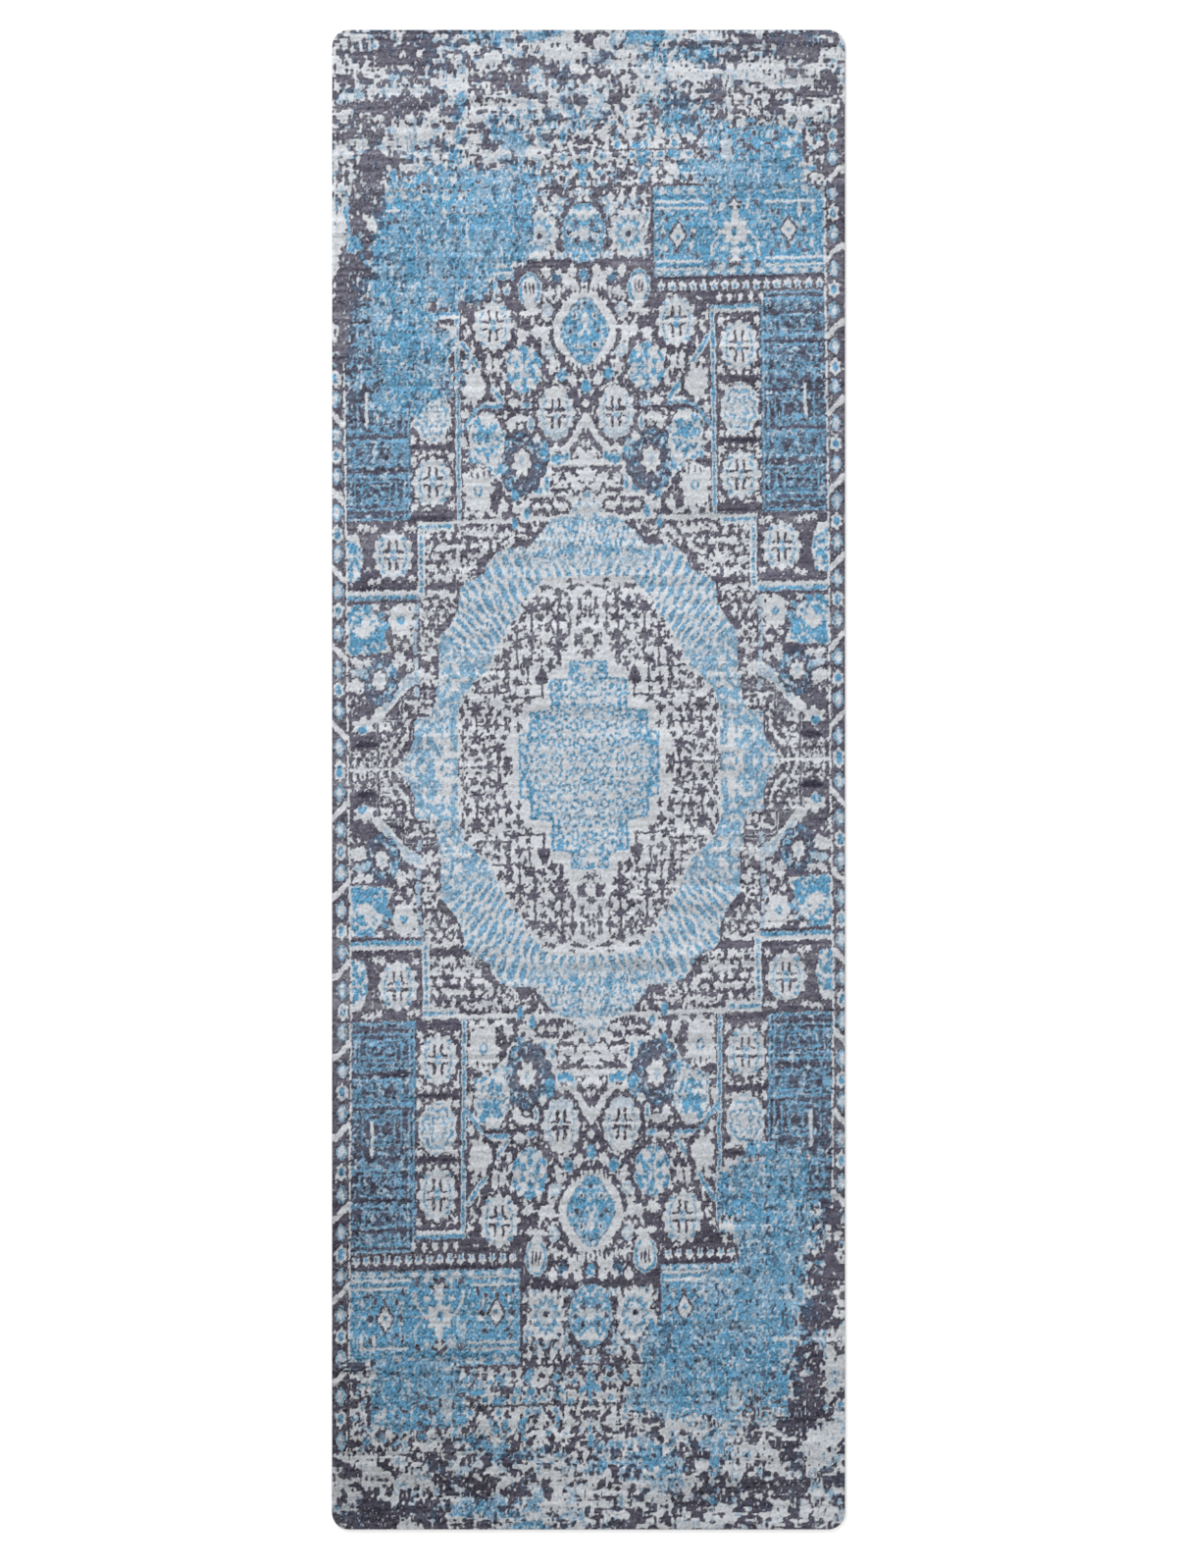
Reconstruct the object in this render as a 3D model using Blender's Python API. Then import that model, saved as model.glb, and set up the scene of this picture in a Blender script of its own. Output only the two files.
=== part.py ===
"""Runner rug: a low-pile printed runner, die-cut from one laminate of continuous sheets.

Units are metres. The origin is the middle of the underside: X runs across the rug, Y along it
and Z up out of the pile. From the floor up the sheets are a ribbed rubber grip, a bond film,
a felt cushion, a second bond film, the woven ground cloth and the pile. Nothing on it moves.
"""

import math

import bmesh
import bpy

RUG_NAME = "runner_rug"

# Outline, the same for every sheet because one die cuts them all
WIDTH = 0.610
LENGTH = 1.783
CORNER_RADIUS = 0.020
CORNER_STEPS = 10  # straight pieces in each rounded corner

# Heights above the floor: a sheet's underside and its top
GRIP_Z = (0.0, 0.0016)
LOWER_FILM_Z = (0.0017, 0.0018)
FELT_Z = (0.0019, 0.0035)
UPPER_FILM_Z = (0.0036, 0.0037)
GROUND_Z = (0.0038, 0.0044)
PILE_Z = (0.0047, 0.0070)

# A film stops just short of the cut edge, and the cut fibres of the pile round over
FILM_INSET = 0.001
PILE_ROUNDING = 0.0008
PILE_ROUNDING_SEGMENTS = 3

# Moulded cross ribs under the rubber, which stop the rug creeping along the floor
RIB_PITCH = 0.012
RIB_LAND = 0.007  # flat part of a rib, on the floor
RIB_FOOT = 0.009  # the same rib where it meets the sheet
RIB_DEPTH = 0.0004

CUTTER_MARGIN = 0.010  # how far the rib stock stands past the outline before it is trimmed


def new_collection(name, hidden=False):
    """A collection in the scene; the cutters' one is hidden from renders."""
    collection = bpy.data.collections.new(name)
    collection.hide_render = hidden
    bpy.context.scene.collection.children.link(collection)
    return collection


def principled(name, colour, roughness, metallic=0.0):
    """A Principled material with the sheet's colour and roughness."""
    material = bpy.data.materials.new(name)
    material.use_nodes = True
    shader = material.node_tree.nodes["Principled BSDF"]
    shader.inputs["Base Color"].default_value = (*colour, 1.0)
    shader.inputs["Roughness"].default_value = roughness
    shader.inputs["Metallic"].default_value = metallic
    material.diffuse_color = (*colour, 1.0)
    return material


def outline_points(inset=0.0):
    """The rounded rectangle, anticlockwise from the right end of the near edge."""
    radius = CORNER_RADIUS - inset
    half_x = WIDTH / 2 - inset - radius
    half_y = LENGTH / 2 - inset - radius
    centres = [(half_x, -half_y, -90), (half_x, half_y, 0), (-half_x, half_y, 90), (-half_x, -half_y, 180)]
    points = []
    for centre_x, centre_y, start in centres:
        for step in range(CORNER_STEPS + 1):
            angle = math.radians(start + 90 * step / CORNER_STEPS)
            points.append((centre_x + radius * math.cos(angle), centre_y + radius * math.sin(angle)))
    return points


def filled_curve(name, points, thickness, collection):
    """A flat outline as a 2D curve, thickened by an extrude of half its thickness each way."""
    data = bpy.data.curves.new(name, "CURVE")
    data.dimensions = "2D"
    data.fill_mode = "BOTH"
    data.extrude = thickness / 2
    spline = data.splines.new("POLY")
    spline.points.add(len(points) - 1)
    for point, (x, y) in zip(spline.points, points):
        point.co = (x, y, 0.0, 1.0)
    spline.use_cyclic_u = True
    curve = bpy.data.objects.new(name, data)
    collection.objects.link(curve)
    return curve


def as_mesh(curve, collection):
    """The curve as a mesh object with its caps welded, in the curve's own place."""
    bpy.context.view_layer.update()
    evaluated = curve.evaluated_get(bpy.context.evaluated_depsgraph_get())
    mesh = bpy.data.meshes.new_from_object(evaluated)
    welded = bmesh.new()
    welded.from_mesh(mesh)
    bmesh.ops.remove_doubles(welded, verts=welded.verts, dist=0.00001)
    bmesh.ops.recalc_face_normals(welded, faces=welded.faces)
    welded.to_mesh(mesh)
    welded.free()
    name = curve.name
    place = curve.matrix_world.copy()
    bpy.data.objects.remove(curve)
    mesh.name = name
    piece = bpy.data.objects.new(name, mesh)
    piece.matrix_world = place
    collection.objects.link(piece)
    return piece


def sheet(name, heights, material, collection, inset=0.0):
    """One flat sheet of the laminate between two heights."""
    bottom, top = heights
    curve = filled_curve(name, outline_points(inset), top - bottom, collection)
    curve.location.z = (bottom + top) / 2
    piece = as_mesh(curve, collection)
    piece.data.materials.append(material)
    return piece


def rib_profile(bottom, top):
    """The rubber seen from its long side: a flat top, and a comb of shallow ribs below.

    The rib count is odd, so that one rib lies across the middle of the rug.
    """
    ribs_each_way = int(LENGTH / 2 / RIB_PITCH) + 1
    web = bottom + RIB_DEPTH
    end = ribs_each_way * RIB_PITCH + RIB_PITCH / 2
    points = [(end, web), (end, top), (-end, top), (-end, web)]
    for index in range(-ribs_each_way, ribs_each_way + 1):
        middle = index * RIB_PITCH
        points.append((middle - RIB_FOOT / 2, web))
        points.append((middle - RIB_LAND / 2, bottom))
        points.append((middle + RIB_LAND / 2, bottom))
        points.append((middle + RIB_FOOT / 2, web))
    return points


def grip_backing(collection, cutters):
    """The rubber underlay: rib stock extruded across the rug and trimmed by the outline die."""
    bottom, top = GRIP_Z
    stock = filled_curve("grip_backing", rib_profile(bottom, top), WIDTH + 2 * CUTTER_MARGIN, collection)
    stock.rotation_euler = (math.radians(90), 0.0, math.radians(90))
    backing = as_mesh(stock, collection)
    die = filled_curve("outline_die", outline_points(), 4 * CUTTER_MARGIN, cutters)
    die = as_mesh(die, cutters)
    die.display_type = "WIRE"
    die.hide_render = True
    trim = backing.modifiers.new("trim to outline", "BOOLEAN")
    trim.operation = "INTERSECT"
    trim.solver = "EXACT"
    trim.object = die
    backing.data.materials.append(principled("grip rubber", (0.055, 0.056, 0.060), 0.82))
    return backing


def bond_film(name, heights, collection):
    """A thin hot-melt film on one face of the felt."""
    material = principled(name.replace("_", " "), (0.72, 0.71, 0.66), 0.45)
    sheet(name, heights, material, collection, FILM_INSET)


def felt_cushion(collection):
    """The needled felt that makes the rug soft underfoot."""
    material = principled("felt", (0.30, 0.30, 0.31), 0.95)
    sheet("felt_cushion", FELT_Z, material, collection)


def ground_cloth(collection):
    """The woven cloth that the pile is tufted through."""
    material = principled("ground cloth", (0.55, 0.54, 0.51), 0.90)
    sheet("ground_cloth", GROUND_Z, material, collection)


def pile_face(collection):
    """The short printed pile; its upper edge is rounded where the cut fibres lean out."""
    material = principled("pile", (0.34, 0.38, 0.43), 0.93)
    pile = sheet("pile_face", PILE_Z, material, collection)
    mesh = bmesh.new()
    mesh.from_mesh(pile.data)
    rim = [edge for edge in mesh.edges if on_upper_rim(edge)]
    bmesh.ops.bevel(
        mesh,
        geom=rim,
        offset=PILE_ROUNDING,
        segments=PILE_ROUNDING_SEGMENTS,
        profile=0.5,
        affect="EDGES",
    )
    mesh.to_mesh(pile.data)
    mesh.free()


def on_upper_rim(edge):
    """True where a sheet's flat top turns down into its cut side; z is 0 at mid-thickness."""
    is_above_middle = all(vert.co.z > 0 for vert in edge.verts)
    return is_above_middle and edge.calc_face_angle(0.0) > math.radians(60)


def build():
    for old in list(bpy.data.objects):
        bpy.data.objects.remove(old)
    parts = new_collection(RUG_NAME)
    cutters = new_collection("cutters", hidden=True)
    grip_backing(parts, cutters)
    bond_film("lower_bond_film", LOWER_FILM_Z, parts)
    felt_cushion(parts)
    bond_film("upper_bond_film", UPPER_FILM_Z, parts)
    ground_cloth(parts)
    pile_face(parts)


build()
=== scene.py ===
# %% [markdown]
# # A worn-print runner rug
# This lesson builds the look of a low, flat runner: a short brushed pile with an old medallion
# print, on a woven ground cloth, over a felt cushion and a ribbed rubber grip. The CAD model
# already holds the plain sheets at their true size. Here each sheet gets the surface that you
# would see and feel, and it stays exactly where the CAD sheet lies.

# %% Load the measured frame
import math

import bmesh
import bpy
import numpy as np
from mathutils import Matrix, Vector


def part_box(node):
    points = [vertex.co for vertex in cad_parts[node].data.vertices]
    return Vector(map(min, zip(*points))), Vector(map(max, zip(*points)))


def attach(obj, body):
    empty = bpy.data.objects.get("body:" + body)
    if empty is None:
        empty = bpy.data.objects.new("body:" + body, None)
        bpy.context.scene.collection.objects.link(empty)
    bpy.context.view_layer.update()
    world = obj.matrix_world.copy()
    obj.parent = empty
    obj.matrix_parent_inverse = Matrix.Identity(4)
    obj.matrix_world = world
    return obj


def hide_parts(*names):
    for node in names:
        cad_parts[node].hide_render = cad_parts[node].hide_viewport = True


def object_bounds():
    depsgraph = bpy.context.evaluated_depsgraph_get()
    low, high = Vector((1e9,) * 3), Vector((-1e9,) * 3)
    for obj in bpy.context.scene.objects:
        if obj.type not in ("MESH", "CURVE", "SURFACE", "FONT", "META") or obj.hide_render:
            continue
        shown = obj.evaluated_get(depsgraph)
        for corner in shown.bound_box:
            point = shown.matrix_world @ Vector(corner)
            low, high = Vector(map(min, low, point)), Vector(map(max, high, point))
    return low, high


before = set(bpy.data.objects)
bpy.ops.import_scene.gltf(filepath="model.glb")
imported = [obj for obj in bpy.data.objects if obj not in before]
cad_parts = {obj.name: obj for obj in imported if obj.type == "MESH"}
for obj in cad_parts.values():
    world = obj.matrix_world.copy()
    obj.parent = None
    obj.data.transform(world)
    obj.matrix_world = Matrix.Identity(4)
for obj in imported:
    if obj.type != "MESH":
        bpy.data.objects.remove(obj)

cad_low, cad_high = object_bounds()
width, length, thickness = cad_high - cad_low
print(f"CAD box: {width * 1000:.0f} x {length * 1000:.0f} x {thickness * 1000:.1f} mm")
print("sheets:", ", ".join(sorted(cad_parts)))

# %% [markdown]
# ## Camera
# A runner is seen whole from straight above. A long lens held far away keeps its two long edges
# parallel. The lens and the sensor fix how much floor the picture covers, so the height of the
# camera follows from the length of floor that should fill the frame.

# %% Hang the camera
FRAME_LENGTH = 1.8635  # floor covered by the long side of the picture, in metres
LENS = 100
SENSOR = 36
CAMERA_NUDGE = -0.0052  # the rug lies a touch above the middle of the frame

camera_height = FRAME_LENGTH * LENS / SENSOR + cad_high.z
bpy.ops.object.select_all(action="DESELECT")
bpy.ops.object.camera_add(location=(0, CAMERA_NUDGE, camera_height), rotation=(0, 0, 0))
camera = bpy.context.object
camera.name = "overhead_camera"
camera.data.lens = LENS
camera.data.sensor_width = SENSOR
camera.data.clip_end = 60
camera.data.dof.use_dof = False
bpy.context.scene.camera = camera
print(f"camera {camera_height:.2f} m above the floor")

# %% [markdown]
# ## Studio light
# Pile has almost no shine, so its relief shows only where light comes from the side. Most of
# the light here is a soft even glow from the world. One softbox at the upper left adds the
# gentle shading that lets each tuft be seen. It stands nearer the far end of the rug, so the
# light falls off a little towards the near end. Sky and softbox together are a touch brighter
# than full white, which keeps the floor clean.

# %% Light the studio
SKY_STRENGTH = 1.08
KEY_PLACE = (-1.6, 2.6, 2.6)
KEY_SIZE = 1.5
KEY_POWER = 80

world = bpy.data.worlds.new("studio_air")
world.use_nodes = True
world.node_tree.nodes["Background"].inputs["Color"].default_value = (1.0, 1.0, 1.0, 1.0)
world.node_tree.nodes["Background"].inputs["Strength"].default_value = SKY_STRENGTH
bpy.context.scene.world = world
bpy.context.scene.view_settings.view_transform = "Standard"

bpy.ops.object.select_all(action="DESELECT")
bpy.ops.object.light_add(type="AREA", location=KEY_PLACE)
key = bpy.context.object
key.name = "key_softbox"
key.data.shape = "SQUARE"
key.data.size = KEY_SIZE
key.data.energy = KEY_POWER
to_rug = cad_low.lerp(cad_high, 0.5) - key.location
key.rotation_euler = to_rug.to_track_quat("-Z", "Y").to_euler()
print(f"softbox {to_rug.length:.1f} m from the middle of the rug")

# %% [markdown]
# ## Floor
# The floor is one broad pale sheet. It is only a stage, so it is marked as such and never
# counts as part of the rug.

# %% Lay the floor
FLOOR_SIDE = 16.0

bpy.ops.object.select_all(action="DESELECT")
bpy.ops.mesh.primitive_plane_add(size=FLOOR_SIDE, location=(0, 0, cad_low.z))
floor = bpy.context.object
floor.name = "studio_floor"
floor_paint = bpy.data.materials.new("pale_floor_paint")
floor_paint.use_nodes = True
floor_shader = floor_paint.node_tree.nodes["Principled BSDF"]
floor_shader.inputs["Base Color"].default_value = (0.97, 0.97, 0.97, 1.0)
floor_shader.inputs["Roughness"].default_value = 0.9
floor_shader.inputs["Specular IOR Level"].default_value = 0.1
floor.data.materials.append(floor_paint)
print("floor laid at z =", round(cad_low.z, 4))

# %% [markdown]
# ## The print, part 1: the tools of a pattern drawer
# The print is an old carpet design: a scalloped medallion, rosettes, panels and a narrow border.
# Its maker drew one quarter and turned it for the rest. We do the same on a chart of one square
# per millimetre. A square holds two dyes, the charcoal and the blue, each from 0 to 1. Bare yarn
# is cream. Painting a chart with listed shapes is better than a picture file, because every
# flower can be moved, and it needs nothing from disk.

# %% Name the dyes
CREAM = (0.0, 0.0)
DARK = (1.0, 0.0)
BLUE = (0.0, 1.0)
SLATE = (0.6, 1.0)
PALE = (0.0, 0.45)
SOFT_BLUE = (0.0, 0.75)
NIGHT = (1.3, 0.0)

HALF_WIDTH = 306
HALF_LENGTH = 892
out, across = np.mgrid[0:HALF_LENGTH, 0:HALF_WIDTH].astype(float)
print(f"chart: {HALF_LENGTH} rows out from the middle, {HALF_WIDTH} squares across")

# %% [markdown]
# Yarn, dye and wear are never even. `cloud` gives a random field with lumps of a chosen size, and
# it can be asked for at any points. `cut` turns such a field into shapes with a soft edge.

# %% Random fields
def cloud(x, y, lump_x, lump_y, seed, smooth=True):
    """A random field around 0 at the points x, y in mm, with lumps of the given size."""
    rng = np.random.default_rng(seed)
    at_x = (x + 400.0) / lump_x
    at_y = (y + 1000.0) / lump_y
    grid = rng.random((int(at_y.max()) + 3, int(at_x.max()) + 3)) - 0.5
    col = at_x.astype(int)
    row = at_y.astype(int)
    if not smooth:
        return grid[row, col]
    fx = at_x - col
    fy = at_y - row
    fx = fx * fx * (3 - 2 * fx)
    fy = fy * fy * (3 - 2 * fy)
    near = grid[row, col] * (1 - fx) + grid[row, col + 1] * fx
    far = grid[row + 1, col] * (1 - fx) + grid[row + 1, col + 1] * fx
    return near * (1 - fy) + far * fy


def cut(field, level, soft=0.06):
    """1 where the field is above the level, 0 below, with a soft step between."""
    return np.clip((field - level) / soft + 0.5, 0, 1)


def even_out(field):
    """The same field with a mean of 0 and a spread of 1."""
    return (field - field.mean()) / field.std()


def ranked(field):
    """The same field as shares from 0 to 1, so that a level of 0.3 always takes 30% of it."""
    steps = np.linspace(0, 1, 101)
    return np.interp(field, np.quantile(field, steps), steps)


LACE = even_out(cloud(across, out, 4.2, 4.6, 1) + 0.55 * cloud(across, out, 7, 8, 2))
BLOTCH = even_out(cloud(across, out, 10, 12, 3) + 0.6 * cloud(across, out, 4, 4.4, 4))
FINE = even_out(cloud(across, out, 2.8, 3.4, 5))
print("fields ready:", LACE.shape)

# %% [markdown]
# The chart has the few strokes that a pattern drawer uses: a scalloped oval, a diamond, a bar, a
# broken line, and a filled outline. Every stroke works only on the small window that it touches.

# %% The chart and its strokes
# the dyes of one quarter: rows go out from the rug's middle, columns away from its axis
chart = np.zeros((HALF_LENGTH, HALF_WIDTH, 2)) + DARK


def window(u0, u1, d0, d1):
    """The part of the chart between two columns and two rows."""
    rows = slice(max(int(d0), 0), min(int(d1) + 2, HALF_LENGTH))
    cols = slice(max(int(u0), 0), min(int(u1) + 2, HALF_WIDTH))
    return rows, cols


def put(place, mask, dye):
    """Dyes a window of the chart where the mask is 1."""
    squares = chart[place]
    share = np.clip(mask, 0, 1)[..., None]
    squares[...] = squares * (1 - share) + np.asarray(dye) * share


def oval(u, d, ru, rd, dye, lobes=0, depth=0.0, turn=0.0):
    """A filled oval; depth is the share of its radius that the scallops cut in."""
    w = window(u - ru - 2, u + ru + 2, d - rd - 2, d + rd + 2)
    x = (across[w] - u) / ru
    y = (out[w] - d) / rd
    edge = 1.0
    if lobes:
        edge = 1 - depth * (0.5 - 0.5 * np.cos(lobes * np.arctan2(x, y) + turn))
    put(w, (edge - np.hypot(x, y)) * min(ru, rd) + 0.5, dye)


def ovals(places, dye, lobes=0, depth=0.0):
    """Several ovals of one dye: (u, d, half width, half height) each."""
    for u, d, ru, rd in places:
        oval(u, d, ru, rd, dye, lobes, depth)


def diamond(u, d, ru, rd, dye):
    """A filled diamond."""
    w = window(u - ru - 2, u + ru + 2, d - rd - 2, d + rd + 2)
    x = np.abs(across[w] - u) / ru
    y = np.abs(out[w] - d) / rd
    put(w, (1 - x - y) * min(ru, rd) * 0.8 + 0.5, dye)


def bar(u0, u1, d0, d1, dye):
    """A filled bar between two columns and two rows."""
    w = window(u0 - 1, u1 + 1, d0 - 1, d1 + 1)
    inside_u = np.minimum(across[w] - u0, u1 - across[w])
    inside_d = np.minimum(out[w] - d0, d1 - out[w])
    put(w, np.minimum(inside_u, inside_d) + 0.5, dye)


def line(points, thick, dye, dash=0.0, share=0.5):
    """A line through the points; dash is the pitch of a broken one."""
    half = thick / 2
    for (u0, d0), (u1, d1) in zip(points, points[1:]):
        left, right = min(u0, u1) - half - 1, max(u0, u1) + half + 1
        low, high = min(d0, d1) - half - 1, max(d0, d1) + half + 1
        w = window(left, right, low, high)
        x = across[w] - u0
        y = out[w] - d0
        run = np.hypot(u1 - u0, d1 - d0)
        along = (x * (u1 - u0) + y * (d1 - d0)) / run
        held = np.clip(along, 0, run)
        away = np.hypot(x - held * (u1 - u0) / run, y - held * (d1 - d0) / run)
        mask = half - away + 0.5
        if dash:
            mask = np.where((along / dash) % 1.0 < share, mask, 0)
        put(w, mask, dye)


def fill(points, dye):
    """Fills an outline, and returns its window and what lies inside it."""
    pts = np.array(points, float)
    low = pts.min(0)
    high = pts.max(0)
    w = window(low[0] - 1, high[0] + 1, low[1] - 1, high[1] + 1)
    inside = within(pts, across[w] + 1e-6, out[w] + 1e-6)
    put(w, inside.astype(float), dye)
    return w, inside


def within(outline, x, y):
    """Whether each point lies inside the outline."""
    pts = np.array(outline, float)
    inside = np.zeros(np.shape(x), bool)
    for (u0, d0), (u1, d1) in zip(pts, np.roll(pts, -1, 0)):
        if d0 != d1:
            beside = x < u0 + (y - d0) * (u1 - u0) / (d1 - d0)
            inside ^= (y > min(d0, d1)) & (y <= max(d0, d1)) & beside
    return inside


print("an empty chart, all charcoal")

# %% [markdown]
# Three little devices come back all over the rug: a floret of a few petals, the large scalloped
# rosette with a dark cross in its heart, and the leafy filling of the dark grounds.

# %% Florets, rosettes and leaf filling
def floret(u, d, size=5.0, dye=CREAM, petals=5, turn=0.0, heart=None):
    """A small flower of a few petals."""
    oval(u, d, size, size * 1.05, dye, petals, 0.45, turn)
    if heart is not None:
        oval(u, d, size * 0.3, size * 0.3, heart)


def rosette(u, d, ru, rd, tint=BLUE, lobes=12):
    """A scalloped cream flower with blue strokes and a dark double cross."""
    oval(u, d, ru + 3, rd + 3, DARK, lobes, 0.12)
    oval(u, d, ru, rd, CREAM, lobes, 0.17)
    for k in range(lobes):
        petal = 2 * np.pi * (k + 0.5) / lobes
        oval(u + 0.8 * ru * np.sin(petal), d + 0.8 * rd * np.cos(petal), 1.8, 2.4, PALE)
    for side in (-1, 1):
        for end in (-1, 1):
            stroke = [(0.62, 0.04), (0.6, 0.3), (0.42, 0.52)]
            bend = [(u + side * x * ru, d + end * y * rd) for x, y in stroke]
            line(bend, 2.4, tint, 9, 0.75)
            oval(u + side * 0.5 * ru, d + end * 0.66 * rd, 3.6, 2.0, tint)
            bar(u + side * 0.17 * ru - 1.5, u + side * 0.17 * ru + 1.5,
                d + end * 0.34 * rd - 0.22 * rd, d + end * 0.34 * rd + 0.22 * rd, DARK)
        bar(u + side * 0.36 * ru - 4, u + side * 0.36 * ru + 4, d + 0.1 * rd, d + 0.1 * rd + 3,
            (1.1, 0.0))
        bar(u + side * 0.36 * ru - 3.5, u + side * 0.36 * ru + 3.5, d - 0.12 * rd - 1.2,
            d - 0.12 * rd + 1.2, DARK)
    oval(u, d, 0.15 * ru, 0.22 * rd, tint)
    bar(u - 0.18 * ru, u + 0.18 * ru, d - 1, d + 1.5, CREAM)


def leaf_ground(outline, level):
    """A dark ground filled with thin cream leaves."""
    w, inside = fill(outline, DARK)
    put(w, cut(LACE[w] + 0.5 * FINE[w], level, 0.35) * inside, CREAM)


def scatter_florets(outline, pitch, size, seed):
    """Small cream florets on a loose lattice inside an outline."""
    rng = np.random.default_rng(seed)
    low = np.min(outline, 0)
    high = np.max(outline, 0)
    for k, d in enumerate(np.arange(low[1] + pitch / 2, high[1], pitch)):
        for u in np.arange(low[0] + pitch * (0.5 if k % 2 else 1.0), high[0], pitch):
            u_here = u + rng.uniform(-2, 2)
            d_here = d + rng.uniform(-2, 2)
            if not within(outline, u_here, d_here):
                continue
            s = size * rng.uniform(0.8, 1.25)
            kind = rng.random()
            if kind < 0.62:
                heart = DARK if rng.random() < 0.3 else None
                floret(u_here, d_here, s, CREAM, int(rng.integers(4, 7)), rng.uniform(0, 6), heart)
            elif kind < 0.85:
                oval(u_here, d_here, s * 0.55, s * 1.25, CREAM, 4, 0.3)
            else:
                oval(u_here, d_here, s * 1.2, s * 0.5, CREAM)


print("devices ready: floret, rosette, leaf ground")

# %% [markdown]
# ## The print, part 2: the medallion
# All places below are in millimetres on the rug: `u` away from its long axis, `d` out from its
# middle. The medallion is a scalloped ring of pale leaf strokes, which fan out from the middle.
# Beside the middle they break up into a mottle, and at the ring's crown they are finer and upright.

# %% Ring of leaf strokes
RING = [
    (0, 0), (228, 0), (222, 12), (212, 22), (208, 35), (208, 58), (198, 68), (190, 86), (180, 97),
    (178, 103), (178, 156), (168, 166), (159, 181), (153, 196), (152, 214), (144, 222), (131, 226),
    (121, 233), (118, 246), (110, 255), (96, 262), (68, 262), (62, 272), (52, 284), (42, 292),
    (18, 297), (14, 309), (5, 317), (0, 322),
]
w, inside = fill(RING, CREAM)
u, d = across[w], out[w]
sway = cloud(u, d, 18, 18, 11) + 0.5
fan = np.degrees(np.arctan2(u, d))
tier = (np.hypot(u, d) + sway * 14) / 31.0
stroke = np.cos(2 * np.pi * (fan / 2.75 + 0.5 * np.floor(tier) + sway * 0.6))
tip = 1 - np.abs(tier % 1.0 - 0.5) * 2.6
leaves = cut(stroke + 0.9 * tip + 0.2 * FINE[w], 0.2, 0.4)
beside = np.clip((150 - d) / 60, 0, 1)
lumps = (0.75 - 0.35 * beside) * BLOTCH[w] + (0.55 + 0.3 * beside) * LACE[w] + 0.3 * FINE[w]
mottle = cut(lumps, -0.02 - 0.4 * beside, 0.35)
upper_part = np.clip((d - 120) / 22 - np.clip((u - 150) / 20, 0, 1), 0, 1)
put(w, inside * (leaves * upper_part + 0.93 * mottle * (1 - upper_part)), (0.0, 0.88))
crown = inside * np.clip((d - 236) / 14, 0, 1) * np.clip((78 - u) / 12, 0, 1)
put(w, crown, CREAM)
fine_stroke = np.cos(2 * np.pi * (u / 5.6 + 0.5 * np.floor(d / 11 + sway)))
thin_out = 0.45 * np.clip((d - 250) / 30, 0, 1) - 0.45
put(w, crown * cut(fine_stroke + 0.9 * FINE[w] + 0.3 * LACE[w], thin_out, 0.5), (0.0, 0.9))
print(f"ring: {inside.sum() / 100:.0f} square cm of strokes in each quarter")

# %% [markdown]
# Inside the ring lies a cream band full of small dark figures, set beside thin stems. Each figure
# is a lobed oval of its own size: the larger ones are leaf pairs, the small ones are buds.

# %% Band of dark figures
BAND = [
    (0, 0), (157, 0), (157, 62), (150, 86), (139, 98), (119, 116), (111, 140), (103, 152),
    (96, 168), (83, 180), (76, 200), (62, 212), (52, 224), (0, 226),
]
LEAF_PAIRS = [
    (108, 22, 8, 7), (133, 34, 8, 7), (134, 69, 9, 8), (35, 140, 9, 6), (84, 143, 8, 4),
    (35, 154, 9, 7), (68, 154, 9, 6), (35, 176, 9, 6), (48, 190, 8, 8), (68, 187, 9, 6),
]
BUDS = [
    (97, 5, 5, 8), (118, 3, 5, 5), (125, 20, 4, 6), (138, 17, 5, 6), (146, 25, 4, 5),
    (150, 12, 3, 6), (131, 8, 3, 3), (101, 35, 4, 4), (115, 35, 4, 4), (150, 37, 3, 7),
    (97, 50, 4, 10), (110, 50, 3, 9), (121, 52, 4, 11), (84, 47, 4, 5), (145, 50, 5, 7),
    (85, 66, 5, 7), (97, 70, 4, 4), (117, 67, 4, 7), (151, 66, 3, 9), (73, 78, 5, 5),
    (80, 73, 2, 3), (89, 83, 5, 6), (100, 80, 3, 4), (122, 80, 4, 5), (145, 79, 3, 7),
    (99, 97, 4, 6), (110, 92, 4, 9), (121, 103, 3, 3), (132, 97, 4, 7), (74, 89, 3, 4),
    (85, 101, 4, 7), (72, 125, 6, 7), (97, 122, 5, 6), (97, 108, 3, 6), (112, 107, 6, 3),
    (123, 104, 3, 3), (45, 119, 5, 7), (35, 125, 3, 7), (57, 127, 4, 5), (3, 132, 5, 5),
    (46, 145, 5, 5), (66, 137, 3, 6), (60, 141, 2, 2), (73, 141, 2, 2), (97, 134, 6, 7),
    (107, 128, 4, 6), (11, 149, 6, 8), (93, 153, 4, 5), (47, 165, 5, 6), (22, 166, 3, 10),
    (11, 173, 3, 8), (57, 165, 3, 4), (76, 165, 3, 4), (85, 163, 6, 5), (2, 160, 4, 4),
    (57, 177, 4, 5), (78, 177, 4, 5), (22, 190, 4, 10), (10, 193, 3, 9), (2, 185, 3, 4),
    (35, 206, 6, 5), (20, 212, 5, 4), (48, 213, 5, 3), (60, 200, 5, 4), (2, 204, 3, 5),
    (30, 190, 3, 3), (26, 204, 3, 3), (107, 12, 2, 8),
]
STEMS = [
    [(108, 0), (108, 22)], [(134, 34), (134, 70)], [(100, 49), (134, 49)], [(54, 82), (98, 82)],
    [(55, 80), (55, 96)], [(94, 89), (135, 89)], [(94, 89), (97, 100)], [(68, 98), (90, 98)],
    [(72, 98), (72, 125)], [(82, 116), (116, 116)], [(84, 116), (84, 160)],
    [(35, 118), (35, 210)], [(67, 137), (67, 185)], [(5, 214), (18, 214)], [(92, 0), (154, 0)],
    [(104, 66), (110, 60)], [(97, 116), (97, 108)],
]
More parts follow.
